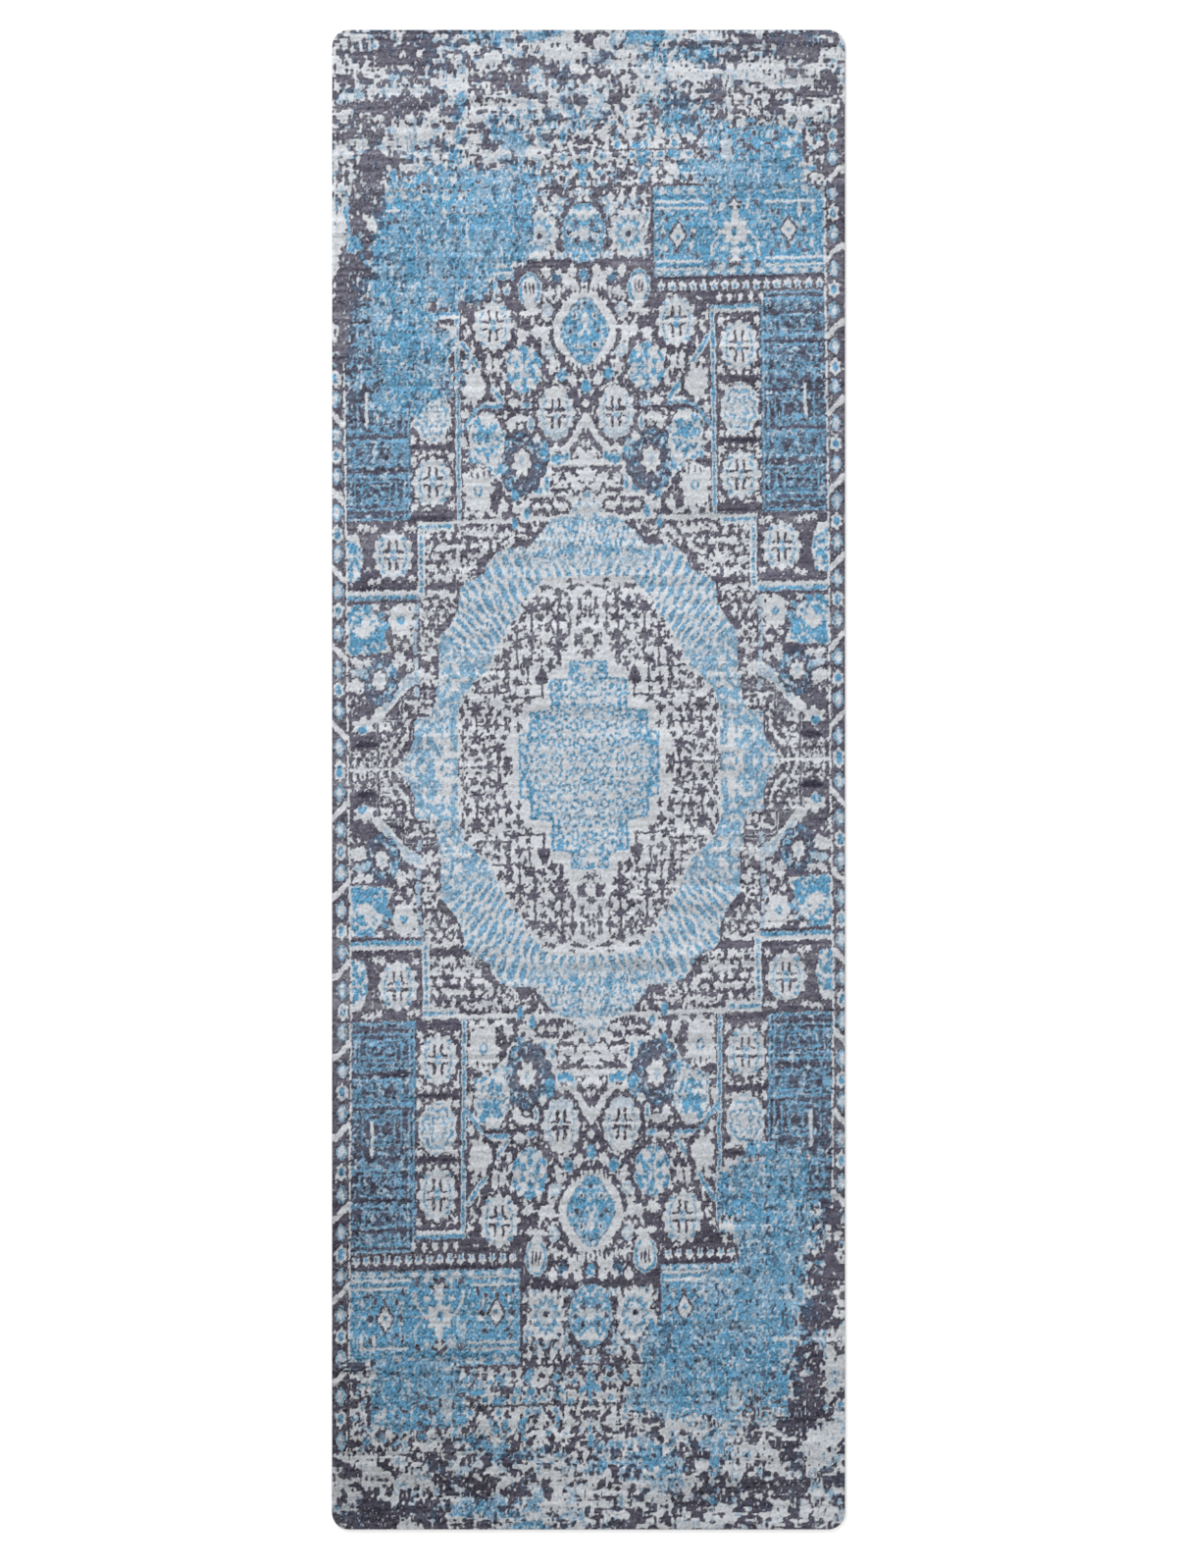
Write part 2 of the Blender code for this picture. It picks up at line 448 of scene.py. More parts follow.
w, inside = fill(BAND, CREAM)
small = (across[w] / 92) ** 4 + (out[w] / 128) ** 4 > 1
put(w, cut(LACE[w] + 0.7 * FINE[w], 1.85, 0.3) * inside * small, DARK)
for u, d, ru, rd in LEAF_PAIRS:
    oval(u, d, ru * 1.3, rd * 1.3, DARK, 6, 0.55, 0.5 * d)
    diamond(u, d, ru * 0.8, rd, DARK)
for u, d, ru, rd in BUDS:
    oval(u, d, ru * 1.25, rd * 1.2, DARK, 4, 0.5, 0.3 * u)
for stem in STEMS:
    line(stem, 2.4, DARK)
diamond(55, 106, 7, 14, DARK)
oval(55, 101, 9, 6, DARK, 6, 0.2)
print(f"band: {len(LEAF_PAIRS) + len(BUDS)} figures and {len(STEMS)} stems in each quarter")

# %% [markdown]
# The heart of the medallion is a stepped cross of blue lace on cream.

# %% Heart of lace
HEART = [
    (0, 0), (82, 0), (82, 36), (69, 39), (69, 62), (44, 65), (44, 100), (22, 103), (21, 122),
    (0, 122),
]
fill(HEART, CREAM)
w = window(0, 80, 0, 120)
put(w, cut(LACE[w] + 0.5 * BLOTCH[w], 0.6, 0.4) * within(HEART, across[w], out[w]), BLUE)
for row, d in enumerate(range(8, 116, 19)):
    for u in range(9 if row % 2 else 0, 76, 18):
        if not within(HEART, np.array(u + 4.0), np.array(d + 4.0)):
            continue
        oval(u, d, 8, 9, (0.0, 0.15))
        oval(u, d, 6.6, 7.6, BLUE, 6, 0.35, 0.7 * row)
        oval(u, d, 2.8, 3.2, CREAM)
        oval(u + 9, d + 9, 2.6, 4.2, BLUE)
        oval(u + 9, d - 1, 3.2, 2.0, BLUE)
oval(39, 7, 11, 13, CREAM)
oval(39, 7, 8.5, 10.5, BLUE, 8, 0.25)
oval(39, 7, 5, 6.5, CREAM)
oval(39, 7, 2.6, 3.4, BLUE)
line(HEART[1:], 3.0, BLUE)
line([(74, 0), (74, 27), (61, 29), (61, 55), (37, 58), (37, 92), (14, 95), (14, 116)], 2.4, BLUE,
     15, 0.75)
ovals([(79, 12, 4, 4), (79, 24, 4, 4), (70, 32, 5, 3), (36, 96, 5, 4), (15, 116, 5, 4),
       (62, 60, 4, 3)], BLUE)
print("heart:", len(HEART), "steps")

# %% [markdown]
# ## The print, part 3: the field beside the medallion
# Between the ring and the border the ground is dark and full of florets. A stepped double line
# and a pale diagonal lead to a dark blue rosette, a leaf and a white flower.

# %% Floret grounds and their step lines
leaf_ground([(180, 98), (201, 98), (201, 214), (155, 214), (160, 186), (180, 158)], 0.75)
leaf_ground([(150, 222), (194, 222), (194, 284), (64, 292), (62, 274), (98, 262), (118, 256),
             (126, 230)], 0.75)
leaf_ground([(186, 62), (222, 62), (222, 92), (180, 96)], 0.8)
leaf_ground([(210, 36), (226, 4), (250, 4), (250, 59), (208, 59)], 0.5)
leaf_ground([(226, 0), (286, 0), (286, 26), (214, 24)], 0.55)
leaf_ground([(206, 118), (286, 70), (286, 200), (206, 200)], 0.9)
scatter_florets([(180, 100), (200, 100), (200, 214), (157, 214), (160, 186), (180, 158)], 11.5, 4.2, 21)
scatter_florets([(152, 222), (194, 222), (194, 282), (70, 290), (66, 270), (118, 258),
                 (126, 232)], 12.5, 5.2, 22)
scatter_florets([(188, 62), (222, 62), (222, 92), (186, 92)], 11, 4, 23)
scatter_florets([(210, 30), (250, 8), (250, 58), (212, 58)], 11, 3.8, 24)
scatter_florets([(222, 2), (286, 2), (286, 24), (214, 20)], 11, 4.4, 25)
for d in (136, 147, 184, 226, 238, 262):
    bar(182, 198, d, d + 2.5, (0.3, 0.1))
STAIR = [(184, 90), (222, 90), (222, 60), (251, 60), (251, 0)]
line(STAIR, 5, (0.35, 0.1))
line(STAIR, 2, DARK)
line([(202, 112), (224, 96), (240, 76), (252, 62)], 13, CREAM)
line([(206, 108), (226, 92), (243, 72)], 5, PALE)
oval(214, 105, 10, 9, PALE, 5, 0.3)
bar(226, 286, -1, 2, CREAM)
print("field: six floret grounds, a stair and a diagonal")

# %% [markdown]
# A dark blue rosette is three scalloped ovals, one inside the other. Lace cut into the outer two
# keeps them from looking like plain discs.

# %% Dark blue rosettes
def night_rosette(u, d, ru, rd, heart_u, heart_d):
    """A dark scalloped flower with a slate ring and a small cream heart."""
    oval(u, d, ru, rd, (1.0, 0.35), 10, 0.13)
    w = window(u - ru, u + ru, d - rd, d + rd)
    reach = np.hypot((across[w] - u) / ru, (out[w] - d) / rd)
    petals = np.cos(10 * np.arctan2(across[w] - u, out[w] - d)) * 0.5 + LACE[w] * 0.7
    put(w, cut(petals, 0.2, 0.35) * (reach < 0.92) * (reach > 0.3), (0.5, 1.0))
    put(w, cut(petals + 0.5 * FINE[w], 0.9, 0.4) * (reach < 0.85) * (reach > 0.4), SOFT_BLUE)
    put(w, cut(FINE[w] + 0.4 * LACE[w], 1.1, 0.4) * (reach < 0.8), PALE)
    oval(u, d, heart_u * 1.25, heart_d * 1.2, DARK, 8, 0.2)
    oval(u, d, heart_u, heart_d, CREAM, 7, 0.28)
    oval(u, d + 2, 0.25 * heart_u, 0.4 * heart_d, PALE)


night_rosette(248, 106, 23, 31, 9, 14)
bar(238, 258, 93, 96, DARK)
print("dark rosette beside the medallion")

# %% Flower, leaf and bud against the border
oval(268, 52, 15, 12, CREAM, 6, 0.35)
oval(270, 47, 6, 5, BLUE)
oval(264, 30, 14, 4, NIGHT)
oval(276, 100, 12, 9, CREAM, 6, 0.3)
oval(274, 116, 10, 6, PALE, 5, 0.3)
fill([(234, 140), (286, 136), (286, 196), (266, 196), (248, 184), (242, 162)], CREAM)
w = window(232, 286, 136, 198)
petal = np.hypot((across[w] - 266) / 32, (out[w] - 165) / 34) < 1
put(w, cut(LACE[w] + 0.5 * BLOTCH[w], -0.15, 0.4) * petal * (chart[w][..., 0] < 0.5), BLUE)
oval(268, 166, 13, 9, CREAM, 8, 0.3)
oval(223, 178, 14, 22, CREAM, 8, 0.16)
oval(223, 178, 5, 6, BLUE, 8, 0.2)
for u, d in ((212, 126), (222, 132), (216, 146), (228, 128), (262, 128), (272, 126), (211, 196),
             (252, 196)):
    floret(u, d, 5.5)
line([(203, 84), (206, 150), (203, 200)], 5, (0.0, 0.55), 17, 0.8)
print("side flowers drawn")

# %% [markdown]
# ## The print, part 4: frames, columns and panels
# A double bar and an L-shaped frame close the middle field. Beyond it stand a column of three
# rosettes, a line, and a slate panel.

# %% Double bar and L frame
bar(203, 287, 214, 218, (1.1, 0.0))
bar(196, 287, 208, 213.5, CREAM)
bar(196, 287, 202.5, 208, BLUE)
bar(203, 287, 199, 202, (1.1, 0.0))
bar(193, 202, 203, 295, CREAM)
line([(197.5, 210), (197.5, 282)], 4, BLUE, 9, 0.7)
bar(158, 202, 283, 296, CREAM)
line([(163, 289.5), (199, 289.5)], 4.5, BLUE, 8, 0.8)
bar(202, 262, 222, 294, DARK)
rosette(231, 256, 25, 31)
bar(262, 287, 222, 294, DARK)
fill([(272, 226), (287, 224), (287, 284), (274, 284), (268, 262), (266, 250)], CREAM)
w = window(264, 287, 224, 286)
bare = (chart[w][..., 0] < 0.5) * (chart[w][..., 1] < 0.1)
put(w, cut(LACE[w], -0.3, 0.4) * bare, BLUE)
for u, d in ((208, 287), (216, 289), (253, 288), (262, 290), (270, 291), (209, 228), (249, 226),
             (257, 224)):
    floret(u, d, 5)
bar(157, 212, 299, 303, (1.15, 0.0))
print("frames drawn")

# %% Column of three rosettes
bar(157, 209, 309, 540, DARK)
for low, high in ((309, 378), (392, 455), (466, 536)):
    leaf_ground([(157, low), (209, low), (209, high), (157, high)], 0.8)
rosette(183, 343, 25, 32)
rosette(183, 500, 25, 33)
bar(160, 208, 383, 387, (1.15, 0.0))
bar(160, 208, 458, 462, (1.15, 0.0))
for u in range(166, 208, 9):
    floret(u, 379, 3.2)
    floret(u + 3, 391, 3.0)
    floret(u, 467, 3.2)
oval(183, 423, 24, 33, CREAM, 10, 0.1)
w = window(158, 208, 390, 456)
u, d = across[w] - 183, out[w] - 423
reach = np.hypot(u / 24, d / 33)
ripple = np.sin(2 * np.pi * (reach * 3.2 + 0.25 * np.cos(8 * np.arctan2(u, d)))) + 0.5 * LACE[w]
put(w, cut(ripple, 0.05, 0.5) * (reach < 0.93) * (reach > 0.2), (0.0, 0.85))
for d in (314, 372, 395, 452, 470, 530):
    floret(161, d, 5)
    floret(205, d, 5)
bar(148, 157, 290, 548, DARK)
line([(152, 292), (152, 548)], 6, CREAM)
line([(152, 292), (152, 548)], 3.4, BLUE)
bar(150, 208, 541, 546, CREAM)
bar(150, 208, 546, 551, BLUE)
bar(157, 208, 537, 540, DARK)
print("column of rosettes drawn")

# %% [markdown]
# The slate panel is woven in thin lines across. Its ground and its figures are close in tone, so
# from afar it reads as one quiet blue-grey block with a few dark bars.

# %% Slate panel
bar(209, 286, 297, 584, DARK)
w = window(209, 285, 298, 562)
u, d = across[w], out[w]
bands = cloud(u, d, 90, 9, 31)
lines = np.cos(2 * np.pi * d / 6.5 + 3 * bands)
figure = 0.8 * LACE[w] + 0.6 * FINE[w] + 2.0 * bands + 0.45 * lines
put(w, np.ones(u.shape), (0.95, 0.6))
put(w, cut(figure, 0.1, 0.35), (0.4, 0.85))
put(w, cut(-LACE[w] - 3.0 * bands - 0.5 * FINE[w], 1.1, 0.4), (1.12, 0.2))
put(w, cut(FINE[w] + 0.8 * BLOTCH[w], 1.9, 0.4), PALE)
for u in (211.5, 217):
    line([(u, 300), (u, 560)], 2.2, (0.1, 0.95))
for d in (312, 352, 394, 470, 512):
    bar(212, 285, d - 1.2, d + 1.2, (0.1, 0.95))
for d in (300, 556, 564):
    bar(212, 285, d - 1.3, d + 1.3, BLUE)
for d in (307, 358, 399, 446, 505, 540, 561):
    bar(212, 285, d - 1.3, d + 1.3, (1.15, 0.2))
for u0, u1, d0, d1 in ((226, 276, 320, 345), (234, 268, 325, 340), (226, 276, 365, 388),
                       (226, 272, 405, 440), (234, 262, 412, 434), (226, 276, 476, 500),
                       (232, 270, 518, 536)):
    line([(u0, d0), (u1, d0), (u1, d1), (u0, d1), (u0, d0)], 2.2, (0.12, 1.0))
line([(261, 415), (261, 452)], 4, CREAM)
print("slate panel drawn")

# %% [markdown]
# ## The print, part 5: the flowers along the axis
# Two mirrored halves meet on the axis, so a half flower drawn at `u = 0` becomes a whole one.

# %% Cream stair and small blocks above the ring
AXIS_GROUND = [(0, 300), (20, 300), (44, 296), (64, 275), (148, 296), (148, 584), (0, 600)]
leaf_ground(AXIS_GROUND, 0.85)
leaf_ground([(0, 298), (42, 298), (42, 360), (0, 360)], 0.45)
leaf_ground([(75, 298), (148, 298), (148, 320), (75, 320)], 0.6)
line([(158, 294), (90, 294), (80, 283)], 6, CREAM)
line([(20, 297), (62, 297), (74, 296), (76, 312), (66, 321), (52, 326), (50, 346), (42, 361),
      (0, 363)], 8, CREAM)
line([(0, 419), (8, 404), (14, 392), (26, 380)], 7.5, CREAM)
bar(19, 43, 357, 382, CREAM)
ovals([(23, 371, 2.6, 6), (33, 366, 5, 3.6)], BLUE)
bar(29, 37, 374, 377, DARK)
bar(15, 45, 353, 356, DARK)
bar(0, 17, 361, 366, CREAM)
ovals([(9, 376, 4, 5), (3, 386, 3, 5)], CREAM, 4, 0.2)
ovals([(20, 344, 6.5, 8), (36, 344, 5, 8), (4, 346, 5, 9)], CREAM, 5, 0.3)
line([(45, 322), (48, 338), (44, 353)], 8, CREAM)
ovals([(47, 337, 2.8, 9), (58, 330, 5, 4), (71, 303, 3.5, 8), (86, 290, 4, 8), (33, 367, 9, 6),
       (85, 325, 5, 7)], BLUE)
line([(44, 319), (68, 319)], 2.5, DARK)
ovals([(10, 333, 8, 6), (33, 334, 8, 3), (28, 324, 10, 3), (26, 311, 5, 5), (47, 311, 6, 4),
       (60, 311, 5, 5), (15, 309, 5, 3), (99, 311, 6, 9), (84, 310, 4, 5), (113, 303, 4, 5),
       (128, 303, 6, 5), (143, 303, 4, 5), (93, 331, 6, 8), (60, 342, 3, 6), (145, 345, 3, 7)],
      CREAM, 5, 0.25)
bar(20, 42, 355, 358, DARK)
SPEAR = [(0, 292), (50, 292), (19, 300), (16, 311), (8, 317), (3, 328), (0, 330)]
w, inside = fill(SPEAR, CREAM)
put(w, cut(FINE[w] + 0.6 * LACE[w], 0.0, 0.5) * inside, (0.0, 0.75))
line([(22, 304), (44, 300), (60, 302)], 5, DARK, 11, 0.8)
print("stair and spear drawn")

# %% White flower, dark rosette and blue flame
oval(129, 333, 20, 20, CREAM, 8, 0.22)
oval(129, 348, 13, 12, CREAM, 6, 0.2)
oval(129, 314, 15, 8, CREAM, 5, 0.3)
oval(129, 332, 5, 7, BLUE)
oval(129, 332, 2.4, 4, CREAM)
ovals([(122, 351, 1.2, 4), (129, 351, 1.2, 4), (136, 351, 1.2, 4)], DARK)
night_rosette(77, 364, 31, 41, 12, 18)
oval(50, 378, 6, 14, (0.35, 1.0))
FLAME = [
    (101, 341), (109, 348), (120, 362), (139, 366), (140, 404), (134, 414), (124, 426), (111, 426),
    (104, 414), (97, 400), (98, 378), (101, 374),
]
w, inside = fill(FLAME, BLUE)
reach = np.hypot(across[w] - 118, (out[w] - 392) * 0.8)
put(w, cut(0.6 * np.cos(reach / 3.2) - 0.6 * LACE[w] - 0.5 * FINE[w], 0.1, 0.4) * inside, CREAM)
diamond(118, 393, 5, 8, BLUE)
oval(110, 364, 6, 7, CREAM, 6, 0.2)
print("flame drawn")

# %% Bars, centre rosette and kite line
bar(60, 126, 427, 430, (1.15, 0.0))
bar(98, 129, 431, 436, BLUE)
bar(98, 125, 436, 440, CREAM)
ovals([(85, 437, 8, 6), (79, 418, 9, 5)], CREAM, 4, 0.15)
oval(71, 433, 8, 5, PALE, 6, 0.2)
oval(71, 433, 4, 3, BLUE)
oval(66, 410, 4, 11, CREAM)
oval(66, 410, 2, 8, BLUE)
oval(89, 410, 6, 9, CREAM, 6, 0.25)
oval(58, 393, 6, 7, CREAM, 5, 0.25)
rosette(36, 423, 24, 33, SOFT_BLUE)
bar(26, 46, 424, 427, DARK)
oval(36, 448, 14, 9, CREAM, 6, 0.25)
oval(36, 398, 13, 8, (0.0, 0.3), 6, 0.25)
oval(0, 434, 5, 6, CREAM, 4, 0.2)
oval(4, 372, 6, 6, CREAM, 5, 0.25)
oval(0, 455, 6, 9, BLUE)
KITE = [(100, 440), (118, 466), (133, 492), (146, 512)]
line(KITE, 7, CREAM)
line(KITE, 4.2, BLUE)
line([(127, 434), (150, 402)], 5, (0.1, 0.9))
oval(132, 457, 19, 25, DARK)
oval(132, 456, 15, 18, CREAM, 10, 0.14)
ovals([(132, 438, 3, 6), (128, 475, 4, 7), (137, 474, 3, 6)], CREAM)
ovals([(104, 455, 3, 3), (98, 459, 4, 7), (105, 484, 5, 9), (115, 489, 4, 9), (139, 483, 5, 6),
       (93, 494, 4, 5), (141, 440, 6, 4), (144, 425, 5, 5), (146, 392, 4, 9), (143, 470, 4, 5)],
      CREAM, 5, 0.25)
print("kite drawn")

# %% Blue star, axis medallion and cartouche
oval(73, 478, 23, 31, CREAM, 10, 0.14)
w = window(50, 96, 446, 510)
u, d = (across[w] - 73) / 23, (out[w] - 478) / 31
reach = np.hypot(u, d)
star = 0.7 * np.cos(6 * np.arctan2(u, d)) + 0.5 * np.cos(15 * reach) + 0.45 * LACE[w]
put(w, cut(star, 0.0, 0.5) * (reach < 0.95), BLUE)
ovals([(15, 463, 6, 8), (38, 483, 4, 11), (48, 524, 6, 9), (58, 524, 6, 9), (74, 520, 7, 7),
       (60, 548, 10, 5), (72, 546, 7, 4), (30, 570, 4, 8), (41, 571, 3, 9), (14, 598, 5, 8),
       (25, 591, 5, 5), (45, 596, 5, 9), (15, 585, 6, 5)], CREAM, 4, 0.2)
ovals([(27, 470, 7, 8), (0, 591, 6, 9)], BLUE, 4, 0.2)
ovals([(43, 498, 8, 9), (43, 549, 7, 9)], PALE, 4, 0.2)
ovals([(43, 498, 4, 4), (43, 549, 4, 4)], CREAM, 4, 0.2)
oval(33, 590, 5, 9, SLATE, 4, 0.2)
fill([(0, 574), (12, 576), (18, 564), (30, 549), (37, 536), (38, 522), (35, 506), (26, 492),
      (16, 480), (0, 474)], CREAM)
for k in range(7):
    oval(3 + 5.5 * k, 578 - 0.16 * k * k, 1.7, 4.5, CREAM)
    oval(5.5 + 5.5 * k, 572 - 0.2 * k * k, 1.0, 3.0, DARK)
    oval(4 + 5.2 * k, 478 + 0.7 * k * k, 1.0, 4.0, DARK)
LEMON = [(0, 563), (6, 562), (15, 550), (23, 538), (28, 526), (27, 515), (22, 506), (16, 496),
         (8, 485), (0, 482)]
line(LEMON, 2.4, (0.6, 0.6))
w, inside = fill(LEMON, BLUE)
put(w, cut(LACE[w] + 0.3 * FINE[w], 1.25, 0.4) * inside, PALE)
put(w, cut(-LACE[w] - 0.5 * FINE[w], 1.5, 0.4) * inside, (0.6, 0.7))
oval(0, 532, 6, 16, PALE, 6, 0.2)
oval(0, 524, 8, 11, CREAM, 6, 0.35)
ovals([(0, 540, 4, 5), (11, 541, 3, 5), (11, 505, 3, 4)], CREAM)
ovals([(0, 518, 3, 7), (5, 528, 2, 4)], BLUE)
ovals([(17, 523, 3, 3), (12, 541, 1.3, 3.4), (11, 505, 1.3, 3), (0, 556, 2, 2), (0, 495, 1.6, 3)],
      (1.1, 0.0))
rosette(109, 532, 25, 33)
oval(65, 575, 14, 22, CREAM)
oval(65, 575, 13, 21, BLUE)
oval(65, 575, 9.5, 17, CREAM)
ovals([(61, 576, 1.2, 8), (65, 576, 1.2, 8), (69, 576, 1.2, 8)], DARK)
oval(65, 556, 6, 6, CREAM)
print("axis flowers drawn")

# %% [markdown]
# ## The print, part 6: the end bands and the border
# A row of trefoils, a blue band with pale bars and a pair of boxes end the figured field. The
# border is a chain of small diamonds and boxes, cut off by the edge of the rug, as on a real
# runner that is die-cut from a wider cloth.

# %% Trefoils and blue band
bar(83, 287, 566, 583, DARK)
bar(150, 208, 552, 583, DARK)
for u in np.arange(92, 284, 12.5):
    oval(u, 575, 5.2, 7, CREAM, 5, 0.3)
    oval(u, 573, 2, 3, BLUE)
    if 150 < u < 205:
        oval(u + 6, 560, 4, 6, CREAM, 5, 0.3)
bar(83, 287, 583, 586.5, (1.1, 0.0))
bar(84, 286, 587, 699, BLUE)
w = window(84, 286, 587, 699)
put(w, cut(LACE[w] + 0.5 * FINE[w], 1.75, 0.4) * 0.7, PALE)
put(w, cut(-LACE[w] - 0.6 * FINE[w], 2.2, 0.5) * 0.6, DARK)
for u in range(91, 284, 17):
    oval(u, 592, 6, 4, CREAM, 4, 0.25)
    oval(u + 3, 691, 5.5, 4.5, (0.0, 0.15), 5, 0.3)
for u0, u1, d in ((86, 141, 594), (214, 287, 596), (86, 141, 603), (216, 285, 605), (86, 145, 669),
                  (86, 143, 677), (216, 276, 674)):
    bar(u0, u1, d, d + 3.4, CREAM)
    bar(u0, u1, d - 2.2, d - 0.6, (0.35, 1.0))
bar(86, 145, 683, 685.5, (0.3, 1.0))
print("end band drawn")

# %% Flowers of the end band
for u, d in ((112, 637), (244, 641)):
    diamond(u, d, 12, 19, (0.95, 0.3))
    diamond(u, d, 9, 15, CREAM)
    oval(u, d - 1, 2.5, 3.5, BLUE)
    for side in (-18, 18):
        oval(u + side, d, 4.5, 5.5, (1.0, 0.2), 4, 0.4)
        oval(u + side, d + 6, 3, 2.5, CREAM)
        oval(u + 0.7 * side, d + 21, 3.5, 3.5, (1.0, 0.2), 4, 0.4)
    ovals([(u, d - 20, 3, 3), (u - 13, d - 19, 2.5, 3.5), (u + 12, d - 19, 2.5, 3.5)], DARK)
ovals([(264, 615, 6, 3), (223, 612, 3, 6), (134, 612, 3, 6), (92, 612, 2.6, 5), (224, 665, 3, 5),
       (262, 667, 2.6, 6), (95, 664, 3, 3)], (1.0, 0.2), 4, 0.3)
ovals([(273, 666, 2.4, 8), (257, 666, 2.4, 8), (271, 624, 2.4, 6), (128, 624, 2.5, 4),
       (98, 622, 2.5, 4)], CREAM)
oval(180, 604, 12, 10, (1.05, 0.0), 5, 0.4)
oval(180, 606, 8, 6, CREAM, 3, 0.4)
oval(180, 616, 6, 5, CREAM)
oval(180, 640, 18, 17, CREAM, 8, 0.3)
oval(180, 656, 5, 11, CREAM)
oval(179, 640, 4, 6, BLUE)
oval(180, 674, 10, 9, (1.05, 0.0), 5, 0.4)
oval(180, 674, 7, 6.5, CREAM, 4, 0.5)
for side in (-1, 1):
    oval(180 + 26 * side, 600, 4.5, 6, (0.85, 0.2), 5, 0.3)
    ovals([(180 + 15 * side, 597, 4, 6), (180 + 15 * side, 620, 5, 4),
           (180 + 15 * side, 672, 4, 7)], (0.0, 0.1), 5, 0.3)
    line([(180 + 29 * side, 611), (180 + 27 * side, 626), (180 + 16 * side, 641)], 2.8, CREAM)
    line([(180 + 22 * side, 646), (180 + 30 * side, 656), (180 + 28 * side, 667)], 2.8, PALE)
    oval(180 + 25 * side, 676, 4, 5, (0.85, 0.2), 5, 0.3)
print("band flowers drawn")

# %% Boxes beside the axis
bar(79, 83, 584, 700, DARK)
bar(0, 79, 605, 700, DARK)
w = window(0, 79, 612, 700)
put(w, cut(BLOTCH[w] + 0.7 * FINE[w], 0.55, 0.4) * 0.9, (0.1, 0.8))
put(w, cut(LACE[w] - 0.5 * FINE[w], 1.0, 0.4), CREAM)
ovals([(15, 597, 6.5, 7), (45, 597, 6, 7), (30, 596, 4, 5)], CREAM, 6, 0.2)
oval(53, 642, 23, 33, CREAM, 12, 0.2)
oval(53, 642, 17, 24, (0.0, 0.85), 12, 0.3)
oval(53, 642, 12, 16, (0.0, 0.15), 8, 0.35)
oval(53, 640, 3.4, 3.4, (1.1, 0.3))
for side in (-1, 1):
    ovals([(53 + 9 * side, 632, 3.5, 2), (53 + 9 * side, 652, 3.5, 2)], BLUE)
    ovals([(53 + 19 * side, 616, 3, 6), (53 + 19 * side, 670, 3, 6), (53 + 7 * side, 686, 4, 9),
           (53 + 20 * side, 686, 4, 7)], CREAM, 4, 0.25)
w = window(0, 27, 608, 680)
middle = np.hypot(across[w] / 25, (out[w] - 642) / 38) < 1
put(w, middle * 1.0, (0.0, 0.95))
put(w, cut(LACE[w] + 0.5 * FINE[w], 0.75, 0.4) * middle, CREAM)
ovals([(8, 634, 4, 5), (10, 654, 3, 6), (18, 644, 3, 4)], (0.9, 0.3), 4, 0.3)
oval(2, 642, 5, 9, CREAM, 6, 0.3)
print("boxes drawn")

# %% Far end
leaf_ground([(0, 700), (306, 700), (306, 892), (0, 892)], 0.25)
w = window(0, 306, 700, 892)
put(w, cut(BLOTCH[w], 0.9, 0.5), BLUE)
bar(0, 160, 697, 700, DARK)
fill([(148, 702), (262, 702), (262, 760), (230, 772), (148, 764)], BLUE)
w = window(148, 262, 702, 772)
put(w, cut(LACE[w] + 0.5 * FINE[w], 1.5, 0.4), CREAM)
put(w, cut(-LACE[w] - 0.5 * FINE[w], 1.3, 0.4) * 0.9, DARK)
oval(171, 742, 8, 20, (0.0, 0.3), 6, 0.3)
for u in range(24, 160, 34):
    oval(u, 710, 9, 8, CREAM, 5, 0.4)
    oval(u, 710, 4, 4, DARK)
    oval(u + 17, 713, 6, 7, (0.0, 0.9), 4, 0.3)
    ovals([(u + 8, 720, 5, 3), (u + 26, 706, 3, 5)], CREAM)
    oval(u, 737, 8, 8, CREAM, 8, 0.25)
    oval(u, 737, 4, 4, BLUE)
    oval(u + 17, 751, 7, 8, CREAM, 8, 0.25)
    oval(u + 17, 751, 3, 5, BLUE)
    oval(u, 764, 7, 8, CREAM, 6, 0.3)
bar(20, 150, 743, 745, DARK)
print("far end drawn")

# %% Border chain
BORDER_PITCH = 94.0
bar(286, 306, 0, 892, DARK)
line([(286.8, 0), (286.8, 700)], 2.6, CREAM, 23, 0.86)
line([(290.3, 0), (290.3, 700)], 1.4, (0.45, 0.0), 17, 0.7)
for k in range(9):
    d = k * BORDER_PITCH + 2
    oval(297, d, 7, 11, CREAM, 6, 0.2)
    oval(297, d, 3.6, 6, BLUE)
    for side in (-25, 25):
        oval(297, d + side, 6.5, 10.5, (0.1, 0.9), 4, 0.15)
        oval(297.5, d + side, 3.6, 6.5, (0.0, 0.1))
    line([(289, d + 37), (297, d + 46), (306, d + 55)], 6.5, CREAM)
shares = chart.reshape(-1, 2).mean(0)
print(f"chart done: {shares[0] * 100:.0f}% charcoal, {shares[1] * 100:.0f}% blue")

# %% [markdown]
# ## Laying the print on the rug
# The pile is a lattice of tufts, a little over a millimetre apart. Every tuft looks up its dye on
# the chart. The chart is mirrored across the axis and turned half a turn for the other end. Real
# weaving is never true, so the axis wanders, the rows lean a little, and each tuft is shifted by
# a knot or so, which gives the motifs their toothed edges.

# %% Rows and columns of tufts
TUFT = 1.15  # spacing of the lattice, in mm
EDGE_ROLL = 1.0  # how far inside the cut edge the flat top ends, in mm
CORNER_RADIUS = 20.0
CORNER_ROWS = 26

top_half_width = width * 500 - EDGE_ROLL
top_half_length = length * 500 - EDGE_ROLL
top_radius = CORNER_RADIUS - EDGE_ROLL

